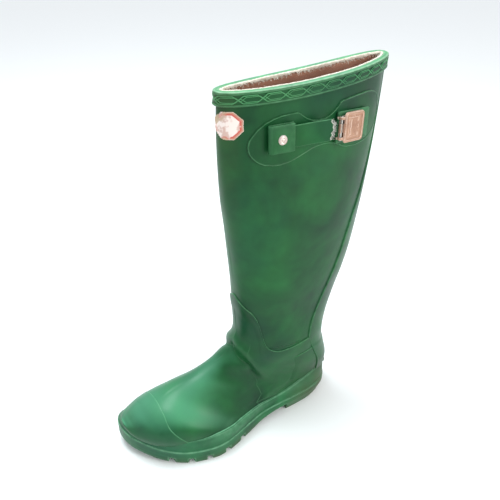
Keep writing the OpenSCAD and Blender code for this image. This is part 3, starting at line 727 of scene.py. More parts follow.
def growOnPath(name, points, tree, values, closed=True, facing=None, body="boot"):
    n = len(points)
    mesh = bpy.data.meshes.new(name + "Path")
    edges = [[k, (k + 1) % n] for k in range(n if closed else n - 1)]
    mesh.from_pydata((np.asarray(points) / 1000).tolist(), edges, [])
    if facing is not None:
        kept = mesh.attributes.new("facing", "FLOAT_VECTOR", "POINT")
        kept.data.foreach_set("vector", np.asarray(facing, float).ravel())
    path = bpy.data.objects.new(name + "Path", mesh)
    bpy.context.scene.collection.objects.link(path)
    mod = path.modifiers.new("made", "NODES")
    mod.node_group = tree
    for item in tree.interface.items_tree:
        if item.in_out == "INPUT" and item.name in values:
            mod[item.identifier] = values[item.name]
    bpy.context.view_layer.update()
    view = path.evaluated_get(bpy.context.evaluated_depsgraph_get())
    made = bpy.data.meshes.new_from_object(view)
    path.modifiers.remove(mod)
    bpy.data.objects.remove(path)
    made.name = name
    obj = bpy.data.objects.new(name, made)
    bpy.context.scene.collection.objects.link(obj)
    finishMesh(obj, 1e-7)
    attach(obj, body)
    print("piece", name, len(made.polygons))
    return obj


chainTree = makeChainTree()
frayTree = makeFrayTree()
print("node trees made")

# Rubber shells and lining

shell = {"around": 168, "legRows": 110, "footRows": 120, "join": 9.0, "top": 398.8}


def ringAngles(n=None):
    return np.arange(n or shell["around"]) * 360 / (n or shell["around"])


def closedShell(t, outer, inner, tEnd=None):  # a wall between two offsets, open at both ends
    a = ringAngles()[None, :]
    t = np.asarray(t)[:, None]
    d = np.ones((len(t), shell["around"]))
    return np.concatenate([skin(t, a, outer * d), skin(t[::-1], a, inner * d)], 0)


topT = float(levelT(shell["top"]))
legT = np.linspace(topT, shell["join"], shell["legRows"])
footT = np.concatenate([np.linspace(shell["join"], 22, shell["footRows"]), [22.4, 22.7, 22.9, 23.0]])
legRubber = addPiece("legRubber", loft(closedShell(legT, 0, -layers["rubber"]), closed=True),
                     greenRubber, "green_rubber", ["leg_shell"], wear=False)
a0 = ringAngles()[None, :]
inside = footT[footT < 21.6][:, None]
footRings = np.concatenate([skin(inside[::-1], a0, np.full((len(inside), 168), -layers["rubber"])),
                            skin(footT[:, None], a0, np.zeros((len(footT), 168)))], 0)
footRubber = addPiece("footRubber", loft(footRings, caps="fan"), greenRubber, "green_rubber", ["foot_shell"],
                      wear=False)
footTree = BVHTree.FromObject(footRubber, bpy.context.evaluated_depsgraph_get())
legTree = BVHTree.FromObject(legRubber, bpy.context.evaluated_depsgraph_get())


def makeLining():
    look = {"seamWide": 1.6, "seamHigh": 0.5, "seamFrom": 190, "ends": 20.6}
    outer = -layers["rubber"] - layers["gap"]
    t = np.concatenate([np.linspace(topT, 9, 70), np.linspace(9, look["ends"], 70)[1:]])
    n = shell["around"] * 2
    a = ringAngles(n)
    seam = np.exp(-((a - 180) / 1.1) ** 2)
    inner = outer - layers["lining"] + look["seamHigh"] * seam
    ripple = 0.25 * np.sin(a * 0.35) * np.sin(np.arange(len(t)) * 0.5)[:, None]
    inRings = skin(t[::-1, None], a[None, :], inner[None, :] + ripple)
    outRings = skin(t[:, None], a[None, :], np.full((len(t), n), outer))
    obj = addPiece("lining", loft(np.concatenate([inRings, outRings], 0), caps="fan"), liningFabric,
                   "lining_fabric", ["lining"], wear=False)
    p = pointsOf(obj)
    back = skin(np.linspace(0, 6, 60), np.full(60, 180.0), np.full(60, outer - layers["lining"]))
    line = np.interp(p[:, 2], back[::-1, 2], back[::-1, 1])
    lineX = np.interp(p[:, 2], back[::-1, 2], back[::-1, 0])
    away = np.hypot(p[:, 1] - line, (p[:, 0] - lineX) * 0.5)
    away = np.where(p[:, 2] > look["seamFrom"], away, 99)
    markPoints(obj, "seam", 1 - smoothStep(look["seamWide"] * 0.5, look["seamWide"], away))


makeLining()


def raggedLine(a, seed, high):  # uneven cut, the same all the way round
    rng = np.random.default_rng(seed)
    out = np.zeros(len(a))
    for waves in (11, 23, 47, 90, 140):
        out += np.sin(np.radians(a * waves) + rng.uniform(0, 6.3)) * rng.uniform(0.4, 1)
    out = out / 2.2
    return high * np.clip(out + rng.uniform(-0.35, 0.35, len(a)), -1.2, 1.2)


def makeHem():  # pale cut edge of the lining, folded over its top
    look = {"low": 397.6, "ragged": 1.0, "top": 400.1, "out": -2.75, "in": -4.75, "threads": 640}
    n = 900
    a = ringAngles(n)
    low = look["low"] + raggedLine(a, 5, look["ragged"])
    top = look["top"] + raggedLine(a, 8, 0.22)
    rows = [(look["out"], top - 1.5), (look["out"], top - 0.35), (look["out"] - 0.5, top),
            (look["in"] + 0.5, top - 0.1), (look["in"] + 0.05, top - 0.6),
            (look["in"] - 0.15, (top + low) / 2), (look["in"] - 0.45, low + 0.3),
            (look["in"] - 0.25, low), (look["in"] + 0.3, low + 0.4)]
    rings = [levelSkin(z, a, np.full(n, d)) for d, z in rows]
    addPiece("liningHem", loft(np.array(rings)[::-1], closed=True), hemFabric, "lining_fabric", wear=False)
    path = levelSkin(low + 0.5, a, np.full(n, look["in"] - 0.3))
    into = -outward(levelT(low), a)
    into[:, 2] = -1.1
    growOnPath("hemThreads", path, frayTree, {
        "Count": look["threads"], "Length": 0.0026, "Thread": 0.00013, "Seed": 4, "Material": hemFabric},
        facing=into)


makeHem()
print("shells and lining made")

# Top band with its embossed chain

band = {"high": 12, "thick": 2.4, "links": 21, "linkHigh": 6.2, "innerGap": 1.1, "line": 0.42}


def makeBand():
    n = 480
    a = ringAngles(n)
    h0 = 400 - band["high"]
    k = band["thick"]
    profile = [(0.1, h0), (k - 0.3, h0 - 0.1), (k + 0.35, h0 + 0.15), (k + 0.75, h0 + 0.75),
               (k + 0.7, h0 + 1.4), (k + 0.25, h0 + 1.9), (k - 0.1, h0 + 2.15), (k - 0.1, h0 + 2.6),
               (k, h0 + 4), (k, h0 + 6), (k - 0.05, h0 + 8.4), (k - 0.1, h0 + 9.1), (k + 0.2, h0 + 9.35),
               (k + 0.45, h0 + 9.7), (k + 0.4, h0 + 10.3), (k + 0.1, h0 + 10.8), (k - 0.3, h0 + 11.0),
               (0.1, h0 + 11.0)]
    rings = [levelSkin(np.full(n, z), a, np.full(n, d)) for d, z in profile]
    addPiece("topBand", loft(np.array(rings)[::-1], closed=True), greenRubber, "green_rubber", ["top_band"])
    rim = [(k + 0.05, h0 + 11.1), (k + 0.12, h0 + 11.4), (k - 0.1, h0 + 11.75), (k - 0.6, h0 + 12.0),
           (0, h0 + 12.05), (-1.6, h0 + 12.05), (-2.5, h0 + 11.8), (-2.75, h0 + 11.2), (-2.7, h0 + 10.6),
           (0, h0 + 10.6)]
    rings = [levelSkin(z + raggedLine(a, 3, 0.06), a, np.full(n, d)) for d, z in rim]
    # the rim takes the paler rubber: painted highlight
    addPiece("rimEdge", loft(np.array(rings)[::-1], closed=True), litRimRubber, "green_rubber")
    mid = levelSkin(np.full(720, h0 + 5.7), ringAngles(720), np.full(720, k + 0.08))
    growOnPath("bandChain", mid, chainTree, {
        "Links": band["links"], "Height": band["linkHigh"] / 1000, "Inner gap": band["innerGap"] / 1000,
        "Thread": band["line"] / 1000, "Material": litChainRubber})


# paler copy of the green rubber: painted highlight along the raised chain lines
litChainRubber = makeRubber("litChainRubber", {**rubberLook, "light": (0.10, 0.34, 0.13, 1),
                                         "deep": (0.06, 0.25, 0.10, 1)})
makeBand()

# Sheets laid over the rubber

lap = {"topAngles": [0, 12, 21, 34, 41, 47, 52, 59, 69, 83, 103, 109, 118],
       "topStations": [6.15, 6.3, 6.48, 6.71, 7.11, 8.0, 8.75, 9.12, 9.36, 9.26, 9.03, 8.97, 8.9],
       "lowAngles": [0, 43, 71, 104, 118], "lowStations": [9.7, 11.0, 13.5, 15.1, 15.3],
       "side": 118, "high": 1.2, "lowHigh": 0.25, "round": 0.8, "bead": 0.35}


def makeAnkleLap():
    a = np.linspace(-lap["side"], lap["side"], 300)
    # a softened course of the lap's upper edge
    course = np.interp(np.abs(a), lap["topAngles"], lap["topStations"])
    for _ in range(3):
        course = np.convolve(np.pad(course, 3, mode="edge"), np.ones(7) / 7, "valid")
    low = np.interp(np.abs(a), lap["lowAngles"], lap["lowStations"])
    v = finelyEdged(40, 60)
    t = course[:, None] + (low - course)[:, None] * v
    aa = np.broadcast_to(a[:, None], t.shape)
    down = np.linalg.norm(np.diff(surface(t, aa), axis=1), axis=2)
    s = np.concatenate([np.zeros((len(a), 1)), np.cumsum(down, 1)], 1)
    left = s[:, -1:] - s
    high = rolled(s, lap["high"], lap["round"]) + lap["bead"] * np.exp(-((s - 0.9) / 0.6) ** 2)
    high = high - (lap["high"] - lap["lowHigh"]) * smoothStep(7, 26, s)
    high = np.minimum(high, rolled(left, lap["high"], 1.2, -0.3))
    made = sheetOver(t, aa, high, -0.6)
    addPiece("ankleLap", made, greenRubber, "green_rubber", ["instep_patch"])


makeAnkleLap()

stay = {"stations": [0.34, 1, 2, 3, 4.23, 5.23, 6.42, 7.3, 8.0, 8.57, 8.9, 9.78, 11.51, 12.9],
        "angles": [168.5, 165, 158.5, 147, 131, 125, 117, 112, 110, 109.5, 109, 115.5, 123, 127],
        "high": 1.5, "overCounter": 0.9, "round": 0.9}


def makeBackStay():
    t = finelyEdged(150, 410) * (12.9 - 0.34) + 0.34
    edge = np.interp(t, stay["stations"], stay["angles"])
    kinks = (np.abs(t - 8.75) < 0.25)
    soft = edge.copy()
    for _ in range(4):
        soft = np.convolve(np.pad(soft, 2, mode="edge"), np.ones(5) / 5, "valid")
    edge = np.where(kinks, edge, soft)
    wide = 90
    u = finelyEdged(70, wide)
    a = edge[:, None] + (360 - 2 * edge[:, None]) * u[None, :]
    tt = np.broadcast_to(t[:, None], a.shape)
    s = edgeDistance(surface(tt, a), "lrt")
    high = stay["high"] + stay["overCounter"] * smoothStep(9.6, 9.9, tt)
    addPiece("backStay", sheetOver(tt, a, rolled(s, high, stay["round"]), -0.5), greenRubber,
             "green_rubber", ["back_stay"])


makeBackStay()

counter = {"angles": [80, 83, 100, 115, 130, 180], "top": [10.6, 10.45, 10.1, 9.88, 9.82, 9.8],
           "high": 1.15, "round": 0.7}


def makeHeelCounter():
    u = finelyEdged(200, 130)
    a = 81 + (360 - 162) * u
    side = np.where(a > 180, 360 - a, a)
    top = np.interp(side, counter["angles"], counter["top"])
    v = finelyEdged(40, 60)
    t = top[:, None] + (12.95 - top[:, None]) * v[None, :]
    lean = (t - 10.5) * 3 * np.sign(180 - a)[:, None] * np.clip(1 - (side[:, None] - 81) / 20, 0, 1)
    aa = np.broadcast_to(a[:, None], t.shape) + np.clip(lean, -6, 6)
    s = edgeDistance(surface(t, aa), "tbl")
    fromFront = np.minimum(a - a[0], a[-1] - a)[:, None]
    high = (rolled(s, counter["high"], counter["round"]) + 0.3) * smoothStep(1, 16, fromFront) - 0.3
    addPiece("heelCounter", sheetOver(t, aa, high, -0.6), greenRubber,
             "green_rubber", ["heel_counter"])


makeHeelCounter()


def wallPoint(x, y, z, nx, ny):  # the foot's wall, level in from a point outside it
    for tree in (footTree, legTree):
        hit = tree.ray_cast(Vector((x, y, z)) / 1000, Vector((nx, ny, 0)), 0.06)
        if hit[0] is not None:
            return hit[3] * 1000
    return None


foxing = {"heights": [(-46, 45.5), (-25, 45.5), (6, 37.5), (43, 34), (82, 32.5), (100, 32), (127, 35),
                      (160, 33), (200, 33), (214, 33)],
          "bulge": 0.5, "thick": 1.8, "welt": 0.7}


def makeFoxing():
    p = outline(0)
    far = outline(-14)
    into = unit(outline(5) - p)
    n = len(p)
    top = np.interp(p[:, 0], *zip(*foxing["heights"])) + spring(p[:, 0]) * 0.55
    low = edgeZ(p[:, 0]) + 0.25
    levels = np.array([0, 0.04, 0.1, 0.2, 0.35, 0.5, 0.65, 0.8, 0.9, 0.95, 0.98, 1.0])
    walls = np.zeros((len(levels), n))
    for k, u in enumerate(levels):
        z = low + (top - low) * u
        for i in range(n):
            d = wallPoint(far[i, 0], far[i, 1], z[i], into[i, 0], into[i, 1])
            walls[k, i] = np.nan if d is None else d - np.linalg.norm(far[i] - p[i])
        good = ~np.isnan(walls[k])
        walls[k] = np.interp(np.arange(n), np.arange(n)[good], walls[k][good], period=n)
        walls[k] = np.convolve(np.pad(walls[k], 4, mode="wrap"), np.ones(9) / 9, "valid")
    thin = 1 - 0.95 * smoothStep(120, 165, p[:, 0])
    weltIn = foxing["welt"]
    rings = []
    for k, u in enumerate(levels):
        wall = walls[k] - foxing["thick"] * thin - 0.12
        keep = (1 - u) ** 1.15
        inset = np.maximum(weltIn * keep + wall * (1 - keep) - foxing["bulge"] * 4 * u * (1 - u), 0.35)
        if u > 0.94:
            inset = inset + (u - 0.94) / 0.06 * 0.7 * thin
        z = low + (top - low) * u
        rings.append(np.column_stack([p + into * inset[:, None], z]))
    rings.append(np.column_stack([p + into * (walls[-1] + 0.9)[:, None], top - 0.1]))
    rings.append(np.column_stack([p + into * np.maximum(walls[0] + 0.9, 3)[:, None], low]))
    addPiece("foxing", loft(np.array(rings), closed=True), soleRubber, "dark_rubber", ["foxing"])


makeFoxing()

cap = {"high": 0.5, "round": 0.8, "sides": (98, 114), "outerFill": 3.4, "innerFill": 4.6, "tipFill": 1.8,
       "rear": [(0, 17.15), (10, 17.15), (29, 17.43), (40, 17.85), (56, 18.1), (73, 18.23), (90, 18.35),
                (180, 18.5)]}


def makeToeCap():
    a = np.linspace(-180, 180, 281)[:-1]
    rear = np.interp(np.abs(a), *zip(*cap["rear"]))
    for _ in range(3):
        rear = np.convolve(np.pad(rear, 4, mode="wrap"), np.ones(9) / 9, "valid")
    v = np.concatenate([[0, 0.002, 0.005, 0.01, 0.018, 0.03], np.linspace(0.05, 1, 40)])
    t = rear + (lastT - rear) * v[:, None]
    aa = np.broadcast_to(a, t.shape)
    plain = surface(t, aa)
    s = np.concatenate([np.zeros((1, len(a))), np.cumsum(np.linalg.norm(np.diff(plain, axis=0), axis=2), 0)])
    onTop = 1 - smoothStep(*cap["sides"], np.abs(aa))
    fill = np.where(aa > 0, cap["outerFill"], cap["innerFill"]) * smoothStep(35, 86, np.abs(aa))
    fromTip = 1 - smoothStep(20.6, 22.6, t)
    fill = fill * smoothStep(rear + 0.1, rear + 2, t) * fromTip + cap["tipFill"] * (1 - fromTip)
    high = (rolled(s, cap["high"], cap["round"], -0.3) + 0.3 + fill) * onTop - 0.3
    rings = np.concatenate([skin(t, aa, np.full(t.shape, -0.9))[::-1], skin(t, aa, high)])
    addPiece("toeCap", loft(rings, caps="fan"), greenRubber, "green_rubber", ["toe_cap"])


makeToeCap()
print("uppers made")

# Sole

sole = {"notches": [174, 153, 132, 109, 86], "wide": 5.2, "deep": 4.6, "sideDeep": 3.2, "sideHigh": 7.5}


def notch(x, y):
    out = np.zeros(np.broadcast(x, y).shape)
    for k in sole["notches"]:
        middle = k - 4 * np.cos(np.pi * np.clip((y + 5) / 50, -1, 1) / 2) + 4
        out = np.maximum(out, 1 - smoothStep(sole["wide"] / 2 - 0.7, sole["wide"] / 2 + 0.9,
                                             np.abs(x - middle)))
    return out


def makeOutsole():
    n = len(outline(0))
    p0 = outline(0)
    low, high = bottomZ(p0[:, 0]), edgeZ(p0[:, 0])
    rings = []
    cut = notch(p0[:, 0], p0[:, 1])
    centre = np.interp(p0[:, 0], [-51, 0, 60, 110, 160, 213], [0, -1, -1, 0, -7, -21])
    for f in (0.0, 0.2, 0.4, 0.58, 0.72, 0.82, 0.89, 0.94, 0.97):
        q = outline(1.6)
        q[:, 1] = centre + (q[:, 1] - centre) * f
        q[:, 0] = q[:, 0] + (1 - f) * np.where(q[:, 0] > 200, (200 - q[:, 0]),
                                               np.where(q[:, 0] < -40, (-40 - q[:, 0]), 0))
        groove = np.minimum(notch(q[:, 0], q[:, 1])
                            + 0.8 * (np.abs(q[:, 1] - centre + 1) < 2.4) * (q[:, 0] > 78), 1)
        z = bottomZ(q[:, 0]) + sole["deep"] * groove * (q[:, 0] > 60)
        rings.append(np.column_stack([q, z]))
    for u, inset in ((0.0, 1.0), (0.03, 0.35), (0.08, 0.05), (0.3, 0), (0.42, 0), (0.5, 0), (0.6, 0.15),
                     (0.8, 0.1), (0.92, 0.0), (0.97, 0.1), (1.0, 0.55)):
        z = low + (high - low) * u
        above = z - low
        side = cut * (1 - smoothStep(sole["sideHigh"] - 2.2, sole["sideHigh"], above)) * (p0[:, 0] > 60)
        q = outline(inset + sole["sideDeep"] * side)
        rings.append(np.column_stack([q, z + (sole["deep"] * side * (1 - smoothStep(0, 3, above)))]))
    for inset, drop in ((1.6, 0.1), (3.4, 4.0), (8, 5)):
        q = outline(inset)
        rings.append(np.column_stack([q, edgeZ(q[:, 0]) - drop]))
    verts, faces = loft(np.array(rings))
    base = (len(rings) - 1) * n
    verts = np.vstack([verts, verts[base:base + n].mean(0)])
    half = n // 2
    faces += [[base + i, base + i + 1, base + n - 2 - i, base + n - 1 - i] for i in range(half - 1)]
    addPiece("outsole", (verts[:-1], faces), soleRubber, "dark_rubber", ["outsole"])


makeOutsole()


def makeHeelBlock():
    look = {"breast": 21.5, "bow": 4.2, "taper": 3.2, "lines": (4.3, 8.6)}
    p = outline(0)
    rings = []
    levels = [0, 0.12, 0.4, 0.9, 1.5, 2.2, 3, 3.8, 4.1, 4.3, 4.5, 4.8, 6, 7.5, 8.2, 8.5, 8.8, 9.2, 11,
              12.4, 13.0]
    start = next(i for i in range(len(p)) if p[i, 0] > look["breast"]) - 1
    stop = next(i for i in range(len(p) - 1, 0, -1) if p[i, 0] > look["breast"]) + 1
    for z in levels:
        q = outline(1.1 + look["taper"] * (1 - z / 13) ** 1.2 + (0.9 if z < 0.1 else 0.3 if z < 0.4 else 0)
                    + sum(0.45 * math.exp(-((z - k) / 0.2) ** 2) for k in look["lines"]))
        right, left = q[stop:], q[:start + 1]
        loop = np.vstack([right, left])
        v = np.linspace(0, 1, 26)[1:-1]
        y = loop[-1, 1] + (loop[0, 1] - loop[-1, 1]) * v
        x = loop[-1, 0] - look["bow"] * (1 - (2 * v - 1) ** 2)
        loop = np.vstack([loop, np.column_stack([x, y])])
        rings.append(np.column_stack([loop, np.full(len(loop), float(z))]))
    rings = np.array(rings)
    n = rings.shape[1]
    base = []
    middle = rings[0].mean(0)
    for f in (0.3, 0.6, 0.8, 0.9):
        ring = middle + (rings[0] - middle) * f
        ring[:, 2] = 0
        base.append(ring)
    made = loft(np.concatenate([np.array(base), rings], 0), caps="fan")
    addPiece("heelBlock", made, soleRubber, "dark_rubber", ["heel_block"])


makeHeelBlock()


spur = {"z": 35, "side": 15.5, "out": 5.2, "high": 2.6}


def makeKickSpur():
    y = np.linspace(-spur["side"], spur["side"], 60)
    shrink = np.sqrt(np.clip(1 - (y / (spur["side"] + 0.3)) ** 2, 0.02, 1))
    x = -51.2 + 7 * (y / 24) ** 2
    loops = []
    for i in range(len(y)):
        ang = np.radians(np.linspace(0, 360, 24, endpoint=False))
        out = spur["out"] * shrink[i] * np.maximum(np.cos(ang), -0.5)
        up = spur["high"] * shrink[i] ** 0.7 * np.sin(ang) * (1 - 0.35 * np.maximum(np.cos(ang), 0))
        loops.append(np.column_stack([x[i] + 1.5 - out, np.full(24, y[i]), spur["z"] + up]))
    addPiece("kickSpur", loft(np.array(loops), caps="fan"), soleRubber, "dark_rubber", ["kick_spur"])


makeKickSpur()


def makeInnerLayer(name, low, high, inset, material, slot, node, fromT=13.2, toT=20.8, hollow=0.0):
    t = fromT + (toT - fromT) * (1 - np.cos(np.linspace(0, np.pi, 70))) / 2
    depthIn = layers["rubber"] + layers["lining"] + 2 * layers["gap"]
    floor = skin(t, np.full(70, 180.0), np.full(70, -depthIn))
    e = np.minimum(t - fromT, toT - t) / (toT - fromT)
    wide = np.interp(t, np.arange(24), np.array(form["stations"])[:, 6]) - inset
    wide = np.maximum(wide * np.sqrt(1 - (1 - np.clip(e / 0.12, 0, 1)) ** 2), 0.6)
    ang = np.linspace(0, 2 * np.pi, 48, endpoint=False)
    y = np.sign(np.cos(ang)) * np.abs(np.cos(ang)) ** 0.35
    z = np.sign(np.sin(ang)) * np.abs(np.sin(ang)) ** 0.5
    loops = []
    for i in range(70):
        dish = hollow * (np.abs(y) ** 2) * (z > 0)
        loops.append(np.column_stack([np.full(48, floor[i, 0]), floor[i, 1] + wide[i] * y,
                                      floor[i, 2] + (low + high) / 2 + (high - low) / 2 * z + dish]))
    addPiece(name, loft(np.array(loops), caps="fan"), material, slot, [node], wear=False)


makeInnerLayer("footbed", 2.9, 5.5, 13.6, footbedFabric, "footbed_fabric", "footbed", hollow=1.2)
makeInnerLayer("insoleBoard", 1.25, 2.55, 16.2, fillerBoard, "board", "insole_board")
print("sole made")

# Side patch, label, strap and buckle

patch = {"x": [80.5, 79.5, 77, 72.5, 66, 58, 51, 42, 36, 33.5, 31, 25, 18, 11, 4, -2, -8, -12.5, -15.5,
               -18, -26, -40, -54, -62, -69, -74, -77.5, -78.6],
         "top": [354, 358.5, 362.5, 367.5, 372, 375, 376.6, 377, 377, 376.7, 375, 370.5, 367.3, 366, 366,
                 367.2, 370, 373.2, 376, 376.8, 377.2, 377.4, 377, 375.6, 373, 369.5, 364, 356],
         "low": [352, 347, 343, 338.5, 335, 333.4, 333, 334, 335.5, 336.2, 337, 339, 341, 342, 342, 341.4,
                 340, 338, 336.8, 335, 332, 329.6, 329.6, 331, 334, 338, 345, 353],
         "high": 1.15, "round": 0.55, "bead": 0.35}


def makeSidePatch():
    order = np.argsort(patch["x"])
    xs = np.array(patch["x"])[order]
    u = (1 - np.cos(np.linspace(0, np.pi, 260))) / 2
    x = xs[0] + (xs[-1] - xs[0]) * (0.35 * u + 0.65 * np.linspace(0, 1, 260))
    x = np.unique(np.concatenate([x, xs[0] + np.array([0.05, 0.15, 0.35, 0.7]),
                                  xs[-1] - np.array([0.05, 0.15, 0.35, 0.7])]))
    top = np.interp(x, xs, np.array(patch["top"])[order])
    low = np.interp(x, xs, np.array(patch["low"])[order])
    v = finelyEdged(34, 36)
    z = top[:, None] + (low - top)[:, None] * v[None, :]
    xx = np.broadcast_to(x[:, None], z.shape)
    rim = np.concatenate([np.column_stack([x, top]), np.column_stack([x, low])[::-1]])
    dense = np.vstack([rim + (np.roll(rim, -1, 0) - rim) * k / 4 for k in range(4)])
    flat = np.column_stack([xx.ravel(), z.ravel()])
    s = np.array([np.min(np.hypot(dense[:, 0] - q[0], dense[:, 1] - q[1])) for q in flat]).reshape(z.shape)
    s[:, 0] = s[:, -1] = s[0, :] = s[-1, :] = 0
    high = rolled(s, patch["high"], patch["round"]) + patch["bead"] * np.exp(-((s - 0.75) / 0.45) ** 2)
    rings = np.concatenate([sideSkin(xx, z, high), sideSkin(xx, z, np.full(z.shape, -0.4))[:, ::-1]], 1)
    addPiece("sidePatch", loft(rings, caps="strip"), greenRubber, "green_rubber", ["side_patch"])


makeSidePatch()


def makeLabel():  # blank sticker, worn at its edges, wrapped round the shin
    look = {"from": -10, "to": 38, "top": 384, "low": 360.3, "corner": 0.3}
    fine = np.linspace(look["from"], look["to"], 200)
    way = np.concatenate([[0], np.cumsum(np.linalg.norm(np.diff(surface(np.full(200, 0.8), fine), axis=0),
                                                        axis=1))])
    wide, tall = way[-1], look["top"] - look["low"]
    n = 240
    ang = np.arange(n) * 2 * np.pi / n
    cut = look["corner"]
    shape = []
    for q in ang:
        c, s = abs(math.cos(q)), abs(math.sin(q))
        shape.append(min(1 / max(c, 1e-6), 1 / max(s, 1e-6), (2 - 2 * cut) / (c + s)))
    edge = np.array(shape) * (1 - 0.035 * np.abs(raggedLine(np.degrees(ang), 21, 1)))
    torn = (np.cos(ang) < -0.3)
    edge = edge * np.where(torn, 1 - 0.10 * np.abs(raggedLine(np.degrees(ang), 22, 1)), 1)
    rings, inset, tornAt = [], [], []
    for f in np.concatenate([[0.02], np.linspace(0.1, 0.96, 22), [0.985, 1.0, 1.0]]):
        sx, sz = wide / 2 * (1 + f * edge * np.cos(ang)), tall / 2 * f * edge * np.sin(ang)
        a = np.interp(sx, way, fine)
        curl = 0.5 * smoothStep(0.8, 1, f) * np.maximum(np.sin(3 * ang), 0)
        d = 0.42 + curl if len(rings) < 25 else np.full(n, -0.1)
        rings.append(levelSkin((look["top"] + look["low"]) / 2 + sz, a, np.broadcast_to(d, n)))
        inset += list(1 - f * np.ones(n))
        tornAt += list(smoothStep(0.35, 0.75, f) * smoothStep(0.1, -0.5, np.cos(ang))
                       + 0.6 * smoothStep(0.75, 0.95, f))
    obj = addPiece("frontLabel", loft(np.array(rings), caps="fan"), labelPaper, "label", ["front_label"],
                   wear=False)
    p = pointsOf(obj)
    flat = np.vstack(rings)
    near = [int(np.argmin(np.sum((flat - q) ** 2, 1))) for q in p]
    markPoints(obj, "inset", np.array(inset)[near])
    markPoints(obj, "torn", np.clip(np.array(tornAt)[near], 0, 1))


makeLabel()

strap = {"wide": 19, "thick": 2.0, "long": 37, "rootY": 4.1, "tabWide": 24, "fold": 1.7, "tabFace": 2.2,
         "z": 358.5, "x": 53, "turn": -7}
tabPlace = onSide(strap["x"], strap["z"], strap["turn"])


def makeStrapTab():  # one piece of rubber folded round the strap's end
    k = strap
    inner, outer = k["tabFace"], k["tabFace"] + 2 * k["fold"] + k["thick"] + 0.4
    half = k["tabWide"] / 2
    mid, r = (inner + outer) / 2, (outer - inner) / 2
    ang = np.linspace(-90, 90, 16)
    outPath = [(-half - 1.2, inner)] + [(half - r + r * math.cos(math.radians(q)),
                                         mid + r * math.sin(math.radians(q))) for q in ang]
    outPath += [(-half, outer)]
    ri = r - k["fold"]
    inPath = [(-half - 1.2, inner + k["fold"])]
    inPath += [(half - r + ri * math.cos(math.radians(q)), mid + ri * math.sin(math.radians(q))) for q in ang]
    inPath += [(-half, outer - k["fold"])]
    loop = np.array(outPath + inPath[::-1])
    rings = []
    for z in np.linspace(-half, half, 9):
        sag = 0.25 * np.cos(np.pi * z / k["tabWide"]) * (loop[:, 1] > mid)
        rings.append(np.column_stack([loop[:, 0], loop[:, 1] + sag, np.full(len(loop), z)]))
    verts, faces = loft(np.array(rings))
    n = len(loop)
    faces += [[i, i + 1, n - 2 - i, n - 1 - i] for i in range(n // 2 - 1)]
    base = (len(rings) - 1) * n
    faces += [[base + i, base + i + 1, base + n - 2 - i, base + n - 1 - i] for i in range(n // 2 - 1)]
    addPiece("strapTab", (verts, faces), greenRubber, "dark_rubber", ["strap_tab"], place=tabPlace,
             bevel=0.35)


makeStrapTab()


def strapEnd(v):  # uneven tear across the strap, how far it goes past the strap's length
    z = v * strap["wide"] - strap["wide"] / 2
    steps = np.interp(z, [-9.5, -7, -5, -2.5, -0.5, 2, 4.5, 7, 9.5],
                      [0, 0.8, -1, -0.2, -2.6, -1.4, -2, 0.4, -0.6])
    return steps + 0.5 * raggedLine(v * 220, 31, 1)


def makeStrap():
    k = strap
    nu, nv = 120, 110
    v = finelyEdged(nv - 12, k["wide"])
    u = np.concatenate([np.linspace(0, 0.96, nu - 12), np.linspace(0.965, 1, 12)])
    x0, x1 = k["tabWide"] / 2 - 3.2, -k["tabWide"] / 2 - k["long"]
    endX = x1 + strapEnd(v)
    x = x0 + (endX[None, :] - x0) * u[:, None]
    z = (v * k["wide"] - k["wide"] / 2)[None, :] + 0 * x
    past = np.clip((-k["tabWide"] / 2 - x) / k["long"], 0, 1)
    lift = 0.5 * past ** 2 + 0.22 * np.sin(9 * past) * (1 - past) * past * 4
    s = np.minimum(np.minimum(v, 1 - v) * k["wide"], 99)[None, :] + 0 * x
    edge = rolled(s, k["thick"] / 2, 0.5, k["thick"] / 2 - 0.5)
    middle = k["rootY"] + k["thick"] / 2
    thin = 1 - 0.35 * smoothStep(0.985, 1, u)[:, None]
    top = np.stack([x, middle + lift + edge * thin, z], -1)
    low = np.stack([x, middle + lift - edge * thin, z], -1)
    rings = np.concatenate([top, low[:, ::-1]], 1)
    obj = addPiece("strap", loft(rings, caps="strip"), greenRubber, "green_rubber", place=tabPlace,
                   ride=False)
    m = np.array(tabPlace)
    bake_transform(obj)
    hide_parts("strap", "strap_root")
    # the woven core that shows at the tear
    core = []
    for i in range(nv):
        q = np.array([endX[i], middle + 0.5, z[0, i]])
        core.append([q + [0.5, -0.8, 0], q + [-0.55, -0.75, 0], q + [-0.75, 0, 0], q + [-0.45, 0.72, 0],
                     q + [0.5, 0.8, 0]])
    core = np.array(core)[3:-3]
    core[:, 1:4, 0] += (0.25 * raggedLine(np.arange(len(core)) * 7.0, 12, 1))[:, None]
    addPiece("strapCore", loft(core, caps="fan"), cordFabric, "green_rubber", place=tabPlace,
             body="strap_flap", wear=False)
    path = np.array([[endX[i] - 0.4, middle + 0.5, z[0, i]] for i in range(4, nv - 4)])
    path = path @ m[:3, :3].T + m[:3, 3]
    facing = np.tile(m[:3, :3] @ np.array([-1, 0.25, 0]), (len(path), 1))
    growOnPath("strapThreads", path, frayTree, {
        "Count": 150, "Length": 0.0024, "Thread": 0.00012, "Seed": 9, "Material": cordFabric},
        closed=False, facing=facing, body="strap_flap")


makeStrap()


def turned(profile, n=64, axis="Y"):  # a solid turned from pairs of radius and height
    ang = np.arange(n) * 2 * np.pi / n
    rings = []
    for r, h in profile:
        c, s = r * np.cos(ang), r * np.sin(ang)
        flat = np.full(n, float(h))
        rings.append(np.column_stack([c, flat, s] if axis == "Y" else [c, s, flat]))
    return loft(np.array(rings), caps="fan")


